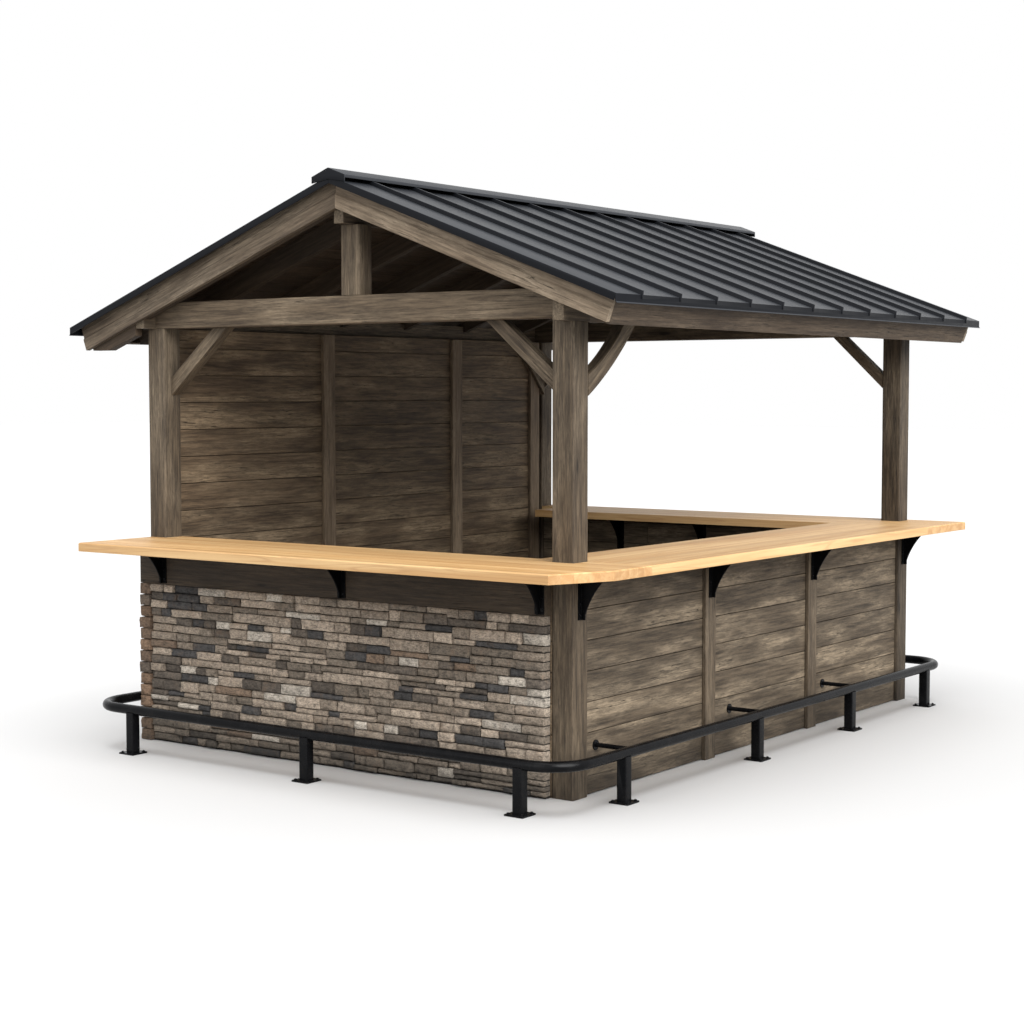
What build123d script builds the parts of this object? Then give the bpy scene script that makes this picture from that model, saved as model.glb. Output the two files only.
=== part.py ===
"""Garden bar pavilion: four posts with two gable trusses, a standing seam metal
roof, a stone faced bar front, a clad bar side and back, one full height clad
wall, a timber counter round three sides and a round metal foot rail.

Millimetres, +Z up, the gable bar front faces -Y and the clad bar side faces +X.
The origin lies on the ground below the middle of the whole pavilion.
"""
from build123d import *
from math import cos, radians, sin, tan
import os

# Timber frame
POST = 120
FRAME_WIDTH = 2720
FRAME_DEPTH = 3580
POST_HEIGHT = 2180
POST_ARRIS = 6
TIE_HEIGHT = 136
TIE_ARRIS = 4
EAVE_BEAM_WIDTH = 60
EAVE_BEAM_HEIGHT = 86
EAVE_BEAM_HOUSING = 16
KING_WIDTH = 120
KING_DEPTH = 96
RIDGE_BEAM_WIDTH = 60
RIDGE_BEAM_DROP = 70
RIDGE_OFFSET = 50

# Knee braces, by where their inner and outer edges meet the post (drop) and the beam (reach)
BRACE_THICK = 60
BRACE_SETBACK = 52
BRACE_DROPS = (255, 350)
BRACE_REACHES = (310, 410)
BACK_BRACE_DROPS = (229, 312)
BACK_BRACE_REACHES = (252, 332)
WALL_BRACE_REACHES = (230, 310)
WALL_BRACE_THICK = 45
BRACE_BOW = 22

# Roof, with heights measured square to the slope from the underside of the barge boards
PITCH = 20.4
DECK_ABOVE_EAVE_BEAM = 58.3
BARGE_RIGHT_OVERHANG = 241.2
BARGE_LEFT_OVERHANG = 356.8
BARGE_FRONT_OVERHANG = 110
BARGE_BACK_OVERHANG = 233
BARGE_THICK = 28
BARGE_STEP = 8
BARGE_STEP_HEIGHT = 62
DECK_UNDERSIDE = 115
DECK_THICK = 22
RAFTER_THICK = 45
RAFTER_DEPTH = 111
RAFTERS_PER_SLOPE = 6
RAFTER_FROM_TIE = 147.5
TAIL_DROP = 57
TAIL_LEFT_CLEAR = 5
TAIL_RIGHT_CLEAR = 138
FASCIA_THICK = 25
FASCIA_RIGHT_LIFT = -9
FASCIA_LEFT_LIFT = 39

# Metal roof
SHEET_THICK = 5
RAKE_OVERHANG = 43
RAKE_LEG = 34
EAVE_OVERHANG = 31
DRIP_LEG = 42
DRIP_KICK = 7
SEAMS = 12
EDGE_PANEL = 209
SEAM_FOOT = 18
SEAM_HEAD = 13
SEAM_HEIGHT = 20
SEAM_TAB = 18
SEAM_SLOT_GAP = 1
CAP_HALF_WIDTH = 104
CAP_LIFT = 10
CAP_LIP = 14
CAP_END_LIP = 32
CAP_END_HEIGHT = 54

# Walls
CLADDING_RECESS = 22
BATTEN_WIDTH = 100
INSIDE_BAYS = (1190, 1220, 850, 80)
STONE_DEPTH = 70
STONE_TOP = 838
STONE_PAST_POST = 25
TRIM_DEPTH = 50

# Counter
COUNTER_TOP = 1080
COUNTER_THICK = 45
COUNTER_FRONT_REACH = 500
COUNTER_RIGHT_REACH = 340
COUNTER_BACK_REACH = 60
COUNTER_RIGHT_DEPTH = 605
COUNTER_BACK_DEPTH = 540
COUNTER_BACK_SHORT = 220
COUNTER_CUT_FRONT = 130
COUNTER_CUT_RIGHT = 320
COUNTER_END_INSET = 5
COUNTER_ARRIS = 5
SCRIBE_GAP = 1

# Counter brackets
BRACKET_FLAT = 50
BRACKET_PLATE = 6
BRACKET_ARM_THICK = 18
BRACKET_WEB = 8
BRACKET_FRONT_DROP = 190
BRACKET_WALL_DROP = 215
BRACKET_NOSE = 24
BRACKET_HOLLOW = 12
BRACKET_WEB_REACH = 130
BRACKET_REACH = 220
FRONT_BRACKET_INSET = 150
FRONT_BRACKET_BAYS = (1240, 1180)

# Foot rail
RAIL_RADIUS = 25
RAIL_HEIGHT = 225
RAIL_FRONT_GAP = 370
RAIL_RIGHT_GAP = 200
RAIL_BACK_GAP = 105
RAIL_LEFT_GAP = 55
RAIL_BEND = 190
RAIL_LEFT_RETURN = 160
RAIL_BACK_RETURN = 110
LEG_SIZE = 50
LEG_CORNER = 5
LEG_SADDLE = 12
FOOT_PLATE = 100
FOOT_THICK = 8
STAY_RADIUS = 11
STAY_FLANGE_RADIUS = 24
STAY_FLANGE_THICK = 5
STAY_OFFSET = 100
RETURN_STAY_INSET = 50
FRONT_LEG_INSETS = (115, 40)
FRONT_LEG_BAYS = (1190, 1250)
RIGHT_LEG_INSETS = (295, 95)
RIGHT_LEG_BAYS = (1245, 1050, 990)

# Sizes that follow from those above
SLOPE_COS = cos(radians(PITCH))
SLOPE_SIN = sin(radians(PITCH))
SLOPE_TAN = tan(radians(PITCH))
DECK_TOP = DECK_UNDERSIDE + DECK_THICK
PAN_TOP = DECK_TOP + SHEET_THICK
SEAM_TOP = PAN_TOP + SEAM_HEIGHT
COUNTER_UNDERSIDE = COUNTER_TOP - COUNTER_THICK
WALL_THICK = POST - 2 * CLADDING_RECESS
WALL_INSIDE = POST - CLADDING_RECESS
EAVE_BEAM_UNDERSIDE = POST_HEIGHT - EAVE_BEAM_HOUSING
EAVE_BEAM_TOP = POST_HEIGHT + EAVE_BEAM_HEIGHT

# Level distances from the ridge line to the faces of the posts, and the slopes over them
POSTS_RIGHT_OF_RIDGE = FRAME_WIDTH / 2 - RIDGE_OFFSET
POSTS_LEFT_OF_RIDGE = FRAME_WIDTH / 2 + RIDGE_OFFSET
SLOPE_RIGHT = (POSTS_RIGHT_OF_RIDGE + BARGE_RIGHT_OVERHANG) / SLOPE_COS
SLOPE_LEFT = (POSTS_LEFT_OF_RIDGE + BARGE_LEFT_OVERHANG) / SLOPE_COS

# The roof boards clear the top of the left eave beam, which lies farther from the ridge
DECK_APEX_UNDERSIDE = EAVE_BEAM_TOP + DECK_ABOVE_EAVE_BEAM + POSTS_LEFT_OF_RIDGE * SLOPE_TAN
BARGE_APEX_UNDERSIDE = DECK_APEX_UNDERSIDE - DECK_UNDERSIDE / SLOPE_COS
RIDGE_BEAM_UNDERSIDE = BARGE_APEX_UNDERSIDE - RIDGE_BEAM_DROP


def eave_reach(slope_length):
    """Level distance from the ridge line to the outermost metal at the eave."""
    edge = (slope_length + EAVE_OVERHANG) * SLOPE_COS + PAN_TOP * SLOPE_SIN
    return edge + max(DRIP_KICK, SEAM_HEIGHT * SLOPE_SIN)


# Reach of the pavilion from the middle of its four posts, and so where that middle lies
REACH_LEFT = eave_reach(SLOPE_LEFT) - RIDGE_OFFSET
REACH_RIGHT = max(eave_reach(SLOPE_RIGHT) + RIDGE_OFFSET, FRAME_WIDTH / 2 + COUNTER_RIGHT_REACH)
REACH_FRONT = FRAME_DEPTH / 2 + COUNTER_FRONT_REACH
REACH_BACK = FRAME_DEPTH / 2 + BARGE_BACK_OVERHANG + RAKE_OVERHANG + SHEET_THICK
CENTRE_X = (REACH_LEFT - REACH_RIGHT) / 2
CENTRE_Y = (REACH_FRONT - REACH_BACK) / 2

# Outer faces of the posts
LEFT = CENTRE_X - FRAME_WIDTH / 2
RIGHT = CENTRE_X + FRAME_WIDTH / 2
FRONT = CENTRE_Y - FRAME_DEPTH / 2
BACK = CENTRE_Y + FRAME_DEPTH / 2

RIDGE_X = CENTRE_X + RIDGE_OFFSET
BARGE_FRONT = FRONT - BARGE_FRONT_OVERHANG
BARGE_BACK = BACK + BARGE_BACK_OVERHANG
TIMBER_FRONT = BARGE_FRONT + BARGE_THICK
TIMBER_BACK = BARGE_BACK - BARGE_THICK
SHEET_FRONT = BARGE_FRONT - RAKE_OVERHANG
SHEET_BACK = BARGE_BACK + RAKE_OVERHANG
SEAM_PITCH = (SHEET_BACK - SHEET_FRONT - 2 * EDGE_PANEL) / (SEAMS - 1)
COUNTER_RIGHT_EDGE = RIGHT + COUNTER_RIGHT_REACH
COUNTER_FRONT_INNER = FRONT + POST
COUNTER_BACK_INNER = BACK + COUNTER_BACK_REACH - COUNTER_BACK_DEPTH

RIGHT_SIDE = 1
LEFT_SIDE = -1


def slope_of(side):
    return SLOPE_RIGHT if side == RIGHT_SIDE else SLOPE_LEFT


def on_slope(side, along, square):
    """Cross section point, from its place down the slope and its height square to it."""
    level = along * SLOPE_COS + square * SLOPE_SIN
    return (RIDGE_X + side * level, BARGE_APEX_UNDERSIDE - along * SLOPE_SIN + square * SLOPE_COS)


def below_ridge(side, level, square):
    """Cross section point at a level distance from the ridge line."""
    return (RIDGE_X + side * level, BARGE_APEX_UNDERSIDE + square / SLOPE_COS - level * SLOPE_TAN)


def section_plane(y):
    """Upright plane across the roof: local x is +X, local y is +Z, its normal is -Y."""
    return Plane(origin=(0, y, 0), x_dir=(1, 0, 0), z_dir=(0, -1, 0))


def slope_plane(side):
    """Plane square to a roof slope at the ridge: local x is Y times the side, local y is up."""
    return Plane(
        origin=(RIDGE_X, 0, BARGE_APEX_UNDERSIDE),
        x_dir=(0, side, 0),
        z_dir=(side * SLOPE_COS, 0, -SLOPE_SIN),
    )


def run_along_y(points, front, back, mode=Mode.ADD):
    """Carry a cross section outline from front to back."""
    with BuildSketch(section_plane(back)) as outline:
        with BuildLine():
            Polyline(*points, close=True)
        make_face()
    extrude(outline.sketch, amount=back - front, mode=mode)


def run_down_slope(side, outlines, length, mode=Mode.ADD):
    """Carry outlines of (Y, height square to the slope) from the ridge line down a slope."""
    start = -(SEAM_TOP + SHEET_THICK) * SLOPE_TAN
    with BuildSketch(slope_plane(side).offset(start)) as section:
        for outline in outlines:
            with BuildLine():
                Polyline(*[(side * y, square) for y, square in outline], close=True)
            make_face()
    extrude(section.sketch, amount=length - start, mode=mode)


def keep_side(side):
    """Cut the current part plumb at the ridge line and keep one side of it."""
    split(bisect_by=Plane.YZ.offset(RIDGE_X), keep=Keep.TOP if side == RIGHT_SIDE else Keep.BOTTOM)


def block(x0, x1, y0, y1, z0, z1, mode=Mode.ADD):
    """Square-cut timber or panel between two corners."""
    with BuildSketch(Plane.XY.offset(z0)) as plan:
        with Locations(((x0 + x1) / 2, (y0 + y1) / 2)):
            Rectangle(x1 - x0, y1 - y0)
    extrude(plan.sketch, amount=z1 - z0, mode=mode)


def write(part, name):
    part.label = name
    export_step(part, f"parts/{name}.step")


def places_in(low, high, bays):
    """Places between bays that share a length in given proportions."""
    shares = [sum(bays[: index + 1]) / sum(bays) for index in range(len(bays) - 1)]
    return [low + (high - low) * share for share in shares]


def thirds(low, high):
    """The two places that share a wall's length in three equal bays."""
    return places_in(low, high, (1, 1, 1))


def make_posts():
    corners = {
        "post_front_left": (LEFT, FRONT),
        "post_front_right": (RIGHT - POST, FRONT),
        "post_back_left": (LEFT, BACK - POST),
        "post_back_right": (RIGHT - POST, BACK - POST),
    }
    for name, (x, y) in corners.items():
        with BuildPart() as post:
            block(x, x + POST, y, y + POST, 0, POST_HEIGHT)
            chamfer(post.edges().filter_by(Axis.Z), length=POST_ARRIS)
            if name.endswith("right"):
                run_along_y(eave_beam_outline(RIGHT_SIDE), FRONT, BACK, mode=Mode.SUBTRACT)
        write(post.part, name)


def make_tie_beams():
    for name, y in (("tie_beam_front", FRONT), ("tie_beam_back", BACK - POST)):
        with BuildPart() as tie:
            block(
                LEFT + EAVE_BEAM_WIDTH,
                RIGHT - EAVE_BEAM_WIDTH,
                y,
                y + POST,
                POST_HEIGHT,
                POST_HEIGHT + TIE_HEIGHT,
            )
            chamfer(tie.edges().filter_by(Axis.X), length=TIE_ARRIS)
        write(tie.part, name)


def eave_beam_faces(side):
    """Lower and higher X of the eave beam on one side."""
    if side == RIGHT_SIDE:
        return RIGHT - EAVE_BEAM_WIDTH, RIGHT
    return LEFT, LEFT + EAVE_BEAM_WIDTH


def eave_beam_outline(side):
    """Section of an eave beam, the right one let down into the post heads."""
    low, high = eave_beam_faces(side)
    foot = EAVE_BEAM_UNDERSIDE if side == RIGHT_SIDE else POST_HEIGHT
    return [(low, foot), (high, foot), (high, EAVE_BEAM_TOP), (low, EAVE_BEAM_TOP)]


def make_eave_beams():
    for name, side in (("eave_beam_left", LEFT_SIDE), ("eave_beam_right", RIGHT_SIDE)):
        with BuildPart() as beam:
            run_along_y(eave_beam_outline(side), TIMBER_FRONT, TIMBER_BACK)
        write(beam.part, name)


def make_ridge_beam():
    half = RIDGE_BEAM_WIDTH / 2
    outline = [
        (RIDGE_X - half, RIDGE_BEAM_UNDERSIDE),
        (RIDGE_X + half, RIDGE_BEAM_UNDERSIDE),
        below_ridge(RIGHT_SIDE, half, DECK_UNDERSIDE),
        below_ridge(RIGHT_SIDE, 0, DECK_UNDERSIDE),
        below_ridge(LEFT_SIDE, half, DECK_UNDERSIDE),
    ]
    with BuildPart() as beam:
        run_along_y(outline, TIMBER_FRONT, TIMBER_BACK)
    write(beam.part, "ridge_beam")


def make_king_posts():
    for name, y in (("king_post_front", FRONT), ("king_post_back", BACK - KING_DEPTH)):
        with BuildPart() as king:
            block(
                RIDGE_X - KING_WIDTH / 2,
                RIDGE_X + KING_WIDTH / 2,
                y,
                y + KING_DEPTH,
                POST_HEIGHT + TIE_HEIGHT,
                RIDGE_BEAM_UNDERSIDE,
            )
            chamfer(king.edges().filter_by(Axis.Z), length=POST_ARRIS)
        write(king.part, name)


def brace_outline(corner, way, drops, reaches, bow=0):
    """Brace from a post face to a beam, bowed towards the opening."""
    corner_at, top = corner
    inner_foot, outer_foot = [(corner_at, top - drop) for drop in drops]
    inner_head, outer_head = [(corner_at + way * reach, top) for reach in reaches]
    if bow == 0:
        Polyline(inner_foot, outer_foot, outer_head, inner_head, close=True)
        return
    Line(inner_foot, outer_foot)
    SagittaArc(outer_foot, outer_head, -way * bow)
    Line(outer_head, inner_head)
    SagittaArc(inner_head, inner_foot, way * bow)


def make_gable_braces():
    ends = {
        "braces_front": (FRONT + BRACE_SETBACK + BRACE_THICK, BRACE_DROPS, BRACE_REACHES),
        "braces_back": (BACK - BRACE_SETBACK, BACK_BRACE_DROPS, BACK_BRACE_REACHES),
    }
    for name, (back, drops, reaches) in ends.items():
        with BuildPart() as braces:
            for corner_x, way in ((LEFT + POST, 1), (RIGHT - POST, -1)):
                with BuildSketch(section_plane(back)) as outline:
                    with BuildLine():
                        brace_outline((corner_x, POST_HEIGHT), way, drops, reaches)
                    make_face()
                extrude(outline.sketch, amount=BRACE_THICK)
        write(braces.part, name)


def make_side_braces():
    """Bowed brace under the right eave beam and straight brace flat on the left wall."""
    with BuildPart() as braces:
        with BuildSketch(Plane.YZ.offset(RIGHT - EAVE_BEAM_WIDTH)) as outline:
            with BuildLine():
                brace_outline((FRONT + POST, POST_HEIGHT), 1, BRACE_DROPS, BRACE_REACHES, BRACE_BOW)
            make_face()
        extrude(outline.sketch, amount=BRACE_THICK)
        run_along_y(eave_beam_outline(RIGHT_SIDE), FRONT, BACK, mode=Mode.SUBTRACT)
        with BuildSketch(Plane.YZ.offset(LEFT + WALL_INSIDE)) as outline:
            with BuildLine():
                brace_outline((BACK - POST, POST_HEIGHT), -1, BRACE_DROPS, WALL_BRACE_REACHES)
            make_face()
        extrude(outline.sketch, amount=WALL_BRACE_THICK)
        add_inside_battens(mode=Mode.SUBTRACT)
    write(braces.part, "braces_side")


def rafter_outline(side, underside):
    """Rafter from the ridge beam to the back of the fascia."""
    half = RIDGE_BEAM_WIDTH / 2
    end = slope_of(side) - FASCIA_THICK
    return [
        below_ridge(side, half, underside),
        on_slope(side, end, underside),
        on_slope(side, end, DECK_UNDERSIDE),
        below_ridge(side, half, DECK_UNDERSIDE),
    ]


def fascia_underside(side):
    """Level of a fascia's foot, set off from the lower tip of the barge boards."""
    lift = FASCIA_RIGHT_LIFT if side == RIGHT_SIDE else FASCIA_LEFT_LIFT
    return on_slope(side, slope_of(side), 0)[1] + lift


def cut_level(side, height, front, back):
    """Cut everything of the current part that hangs below a level line."""
    far = RIDGE_X + side * (slope_of(side) + POST)
    outline = [(RIDGE_X, 0), (far, 0), (far, height), (RIDGE_X, height)]
    run_along_y(outline, front, back, mode=Mode.SUBTRACT)


def make_rafters():
    for name, side in (("rafters_left", LEFT_SIDE), ("rafters_right", RIGHT_SIDE)):
        first = FRONT + POST + RAFTER_FROM_TIE
        last = BACK - POST - RAFTER_FROM_TIE - RAFTER_THICK
        with BuildPart() as rafters:
            for index in range(RAFTERS_PER_SLOPE):
                front = first + (last - first) * index / (RAFTERS_PER_SLOPE - 1)
                run_along_y(
                    rafter_outline(side, DECK_UNDERSIDE - RAFTER_DEPTH),
                    front,
                    front + RAFTER_THICK,
                )
            run_along_y(eave_beam_outline(side), TIMBER_FRONT, TIMBER_BACK, mode=Mode.SUBTRACT)
            cut_level(side, fascia_underside(side), TIMBER_FRONT, TIMBER_BACK)
        write(rafters.part, name)


def tail_outline(side):
    """Deeper tail of a gable rafter, outside the posts."""
    face = RIGHT + TAIL_RIGHT_CLEAR if side == RIGHT_SIDE else LEFT - TAIL_LEFT_CLEAR
    level = abs(face - RIDGE_X)
    end = slope_of(side) - FASCIA_THICK
    underside = DECK_UNDERSIDE - RAFTER_DEPTH
    return [
        below_ridge(side, level, underside - TAIL_DROP),
        on_slope(side, end, underside - TAIL_DROP),
        on_slope(side, end, underside),
        below_ridge(side, level, underside),
    ]


def make_gable_rafters():
    """Rafters right behind the barge boards, with deep level-cut tails."""
    places = {
        "gable_rafters_front": TIMBER_FRONT,
        "gable_rafters_back": TIMBER_BACK - RAFTER_THICK,
    }
    for name, front in places.items():
        back = front + RAFTER_THICK
        with BuildPart() as rafters:
            for side in (LEFT_SIDE, RIGHT_SIDE):
                run_along_y(rafter_outline(side, DECK_UNDERSIDE - RAFTER_DEPTH), front, back)
                run_along_y(tail_outline(side), front, back)
                run_along_y(eave_beam_outline(side), front, back, mode=Mode.SUBTRACT)
                cut_level(side, on_slope(side, slope_of(side), 0)[1], front, back)
        write(rafters.part, name)


def make_decks():
    for name, side in (("roof_deck_left", LEFT_SIDE), ("roof_deck_right", RIGHT_SIDE)):
        outline = [(TIMBER_FRONT, DECK_UNDERSIDE), (TIMBER_BACK, DECK_UNDERSIDE)]
        outline += [(TIMBER_BACK, DECK_TOP), (TIMBER_FRONT, DECK_TOP)]
        with BuildPart() as deck:
            run_down_slope(side, [outline], slope_of(side))
            keep_side(side)
        write(deck.part, name)


def barge_section(face, inward):
    """Barge board with a lower band that stands proud under a bevelled step."""
    return [
        (face, 0),
        (face + inward * BARGE_THICK, 0),
        (face + inward * BARGE_THICK, DECK_TOP),
        (face + inward * BARGE_STEP, DECK_TOP),
        (face + inward * BARGE_STEP, BARGE_STEP_HEIGHT + BARGE_STEP),
        (face, BARGE_STEP_HEIGHT),
    ]


def make_barge_boards():
    for end, face, inward in (("front", BARGE_FRONT, 1), ("back", BARGE_BACK, -1)):
        for hand, side in (("left", LEFT_SIDE), ("right", RIGHT_SIDE)):
            with BuildPart() as barge:
                run_down_slope(side, [barge_section(face, inward)], slope_of(side))
                keep_side(side)
            write(barge.part, f"barge_{end}_{hand}")


def make_fascias():
    for name, side in (("fascia_left", LEFT_SIDE), ("fascia_right", RIGHT_SIDE)):
        end = slope_of(side)
        foot = (fascia_underside(side) - on_slope(side, end, 0)[1]) / SLOPE_COS
        outline = [
            on_slope(side, end - FASCIA_THICK, foot),
            on_slope(side, end, foot),
            on_slope(side, end, DECK_UNDERSIDE),
            on_slope(side, end - FASCIA_THICK, DECK_UNDERSIDE),
        ]
        with BuildPart() as fascia:
            run_along_y(outline, TIMBER_FRONT, TIMBER_BACK)
        write(fascia.part, name)


def seam_section(y, gap=0):
    """Tapered standing seam, made wider by a gap where another piece is slotted over it."""
    foot = SEAM_FOOT / 2 + gap
    head = SEAM_HEAD / 2 + gap
    return [(y - foot, DECK_TOP), (y + foot, DECK_TOP), (y + foot, PAN_TOP), (y + head, SEAM_TOP),
            (y - head, SEAM_TOP), (y - foot, PAN_TOP)]


def seam_places():
    return [SHEET_FRONT + EDGE_PANEL + index * SEAM_PITCH for index in range(SEAMS)]


def pan_section():
    """Flat of the metal roof with both rake edges turned down."""
    leg_foot = PAN_TOP - RAKE_LEG
    return [
        (SHEET_FRONT, leg_foot),
        (SHEET_FRONT + SHEET_THICK, leg_foot),
        (SHEET_FRONT + SHEET_THICK, DECK_TOP),
        (SHEET_BACK - SHEET_THICK, DECK_TOP),
        (SHEET_BACK - SHEET_THICK, leg_foot),
        (SHEET_BACK, leg_foot),
        (SHEET_BACK, PAN_TOP),
        (SHEET_FRONT, PAN_TOP),
    ]


def drip_outline(side):
    """Plumb drip edge at the eave, kicked outwards at its foot."""
    edge_x, edge_z = on_slope(side, slope_of(side) + EAVE_OVERHANG, PAN_TOP)
    foot = edge_z - DRIP_LEG
    out = side * DRIP_KICK
    back = -side * SHEET_THICK
    return [
        (edge_x, edge_z),
        (edge_x, foot + DRIP_KICK),
        (edge_x + out, foot),
        (edge_x + out + back, foot),
        (edge_x + back, foot + DRIP_KICK),
        (edge_x + back, edge_z + SHEET_THICK * SLOPE_TAN),
    ]


def seam_tab_outline(side):
    """Folded end of a standing seam, lapped over the drip edge."""
    edge_x, edge_z = on_slope(side, slope_of(side) + EAVE_OVERHANG, PAN_TOP)
    head_x, head_z = on_slope(side, slope_of(side) + EAVE_OVERHANG, SEAM_TOP)
    return [
        (edge_x, edge_z),
        (edge_x, edge_z - SEAM_TAB),
        (edge_x + side * SHEET_THICK, edge_z - SEAM_TAB),
        (edge_x + side * SHEET_THICK, edge_z),
        (head_x, head_z),
    ]


def make_roof_sheets():
    """Standing seam roofing of one slope, with its rake edges, drip edge and folded seams."""
    for name, side in (("roof_sheet_left", LEFT_SIDE), ("roof_sheet_right", RIGHT_SIDE)):
        length = slope_of(side) + EAVE_OVERHANG
        with BuildPart() as sheet:
            run_down_slope(side, [pan_section()], length)
            run_down_slope(side, [seam_section(y) for y in seam_places()], length)
            keep_side(side)
            run_along_y(drip_outline(side), SHEET_FRONT, SHEET_BACK)
            for y in seam_places():
                run_along_y(seam_tab_outline(side), y - SEAM_HEAD / 2, y + SEAM_HEAD / 2)
        write(sheet.part, name)


def cap_fold(half_width, square, lip):
    """Outer or inner outline of the folded ridge cap, from lip foot to lip foot."""
    left = below_ridge(LEFT_SIDE, half_width, square)
    right = below_ridge(RIGHT_SIDE, half_width, square)
    foot = below_ridge(RIGHT_SIDE, CAP_HALF_WIDTH, SEAM_TOP + CAP_LIFT + SHEET_THICK)[1] - lip
    return [(left[0], foot), left, below_ridge(RIGHT_SIDE, 0, square), right, (right[0], foot)]


def make_ridge_cap():
    """Folded cap above the seams, slotted where they pass its lips and closed at both ends."""
    underside = SEAM_TOP + CAP_LIFT
    outer = cap_fold(CAP_HALF_WIDTH, underside + SHEET_THICK, CAP_LIP)
    inner = cap_fold(CAP_HALF_WIDTH - SHEET_THICK, underside, CAP_LIP)
    end_plate = cap_fold(CAP_HALF_WIDTH, underside + SHEET_THICK, CAP_END_LIP)
    apex_x, apex_z = end_plate[2]
    end_plate.append((apex_x, apex_z - CAP_END_HEIGHT))
    slots = [seam_section(y, SEAM_SLOT_GAP) for y in seam_places()]
    with BuildPart() as cap:
        run_along_y(outer + inner[::-1], SHEET_FRONT, SHEET_BACK)
        for side in (LEFT_SIDE, RIGHT_SIDE):
            run_down_slope(side, slots, 2 * CAP_HALF_WIDTH, mode=Mode.SUBTRACT)
        run_along_y(end_plate, SHEET_FRONT - SHEET_THICK, SHEET_FRONT)
        run_along_y(end_plate, SHEET_BACK, SHEET_BACK + SHEET_THICK)
    write(cap.part, "ridge_cap")


def add_inside_battens(mode=Mode.ADD):
    """Battens on the inner face of the left wall."""
    half = BATTEN_WIDTH / 2
    for y in places_in(FRONT + POST, BACK - POST, INSIDE_BAYS):
        block(LEFT + WALL_INSIDE, LEFT + POST, y - half, y + half, 0, POST_HEIGHT, mode=mode)


def make_left_wall():
    """Full height clad wall with battens outside and inside."""
    low, high = FRONT + POST, BACK - POST
    outside = LEFT + CLADDING_RECESS
    half = BATTEN_WIDTH / 2
    with BuildPart() as wall:
        block(outside, LEFT + WALL_INSIDE, low, high, 0, POST_HEIGHT)
        for y in thirds(low, high):
            block(LEFT, outside, y - half, y + half, 0, POST_HEIGHT)
        add_inside_battens()
    write(wall.part, "left_wall")


def make_right_wall():
    low, high = FRONT + POST, BACK - POST
    outside = RIGHT - CLADDING_RECESS
    half = BATTEN_WIDTH / 2
    with BuildPart() as wall:
        block(outside - WALL_THICK, outside, low, high, 0, COUNTER_UNDERSIDE)
        for y in thirds(low, high):
            block(outside, RIGHT, y - half, y + half, 0, COUNTER_UNDERSIDE)
    write(wall.part, "right_wall")


def make_back_wall():
    low, high = LEFT + POST, RIGHT - POST
    outside = BACK - CLADDING_RECESS
    half = BATTEN_WIDTH / 2
    with BuildPart() as wall:
        block(low, high, outside - WALL_THICK, outside, 0, COUNTER_UNDERSIDE)
        for x in thirds(low, high):
            block(x - half, x + half, outside, BACK, 0, COUNTER_UNDERSIDE)
    write(wall.part, "back_wall")


def make_front_wall():
    """Timber core of the bar front, its stone facing and the board above the stone."""
    with BuildPart() as core:
        block(LEFT + POST, RIGHT - POST, FRONT, FRONT + POST - CLADDING_RECESS, 0, COUNTER_UNDERSIDE)
    write(core.part, "front_wall")
    end = LEFT - STONE_PAST_POST
    with BuildPart() as stone:
        block(end, RIGHT - POST, FRONT - STONE_DEPTH, FRONT, 0, STONE_TOP)
    write(stone.part, "stone_facing")
    with BuildPart() as trim:
        block(end, RIGHT - POST, FRONT - TRIM_DEPTH, FRONT, STONE_TOP, COUNTER_UNDERSIDE)
    write(trim.part, "front_trim_board")


def cut_round_post(x, y):
    """Scribe the counter round a post that stands up through it."""
    gap = SCRIBE_GAP
    block(
        x - gap,
        x + POST + gap,
        y - gap,
        y + POST + gap,
        COUNTER_UNDERSIDE,
        COUNTER_TOP,
        mode=Mode.SUBTRACT,
    )


def ease_top(counter, at_edge):
    """Ease the top arris of a counter along its outer edges."""
    top = counter.edges().group_by(Axis.Z)[-1]
    chamfer(top.filter_by(at_edge), length=COUNTER_ARRIS)


def cut_corner(x, y):
    """Cut the outer corner of the counter at the front and the right."""
    with BuildSketch(Plane.XY.offset(COUNTER_UNDERSIDE)) as corner:
        with BuildLine():
            Polyline((x - COUNTER_CUT_FRONT, y), (x, y), (x, y + COUNTER_CUT_RIGHT), close=True)
        make_face()
    extrude(corner.sketch, amount=COUNTER_THICK, mode=Mode.SUBTRACT)


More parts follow.
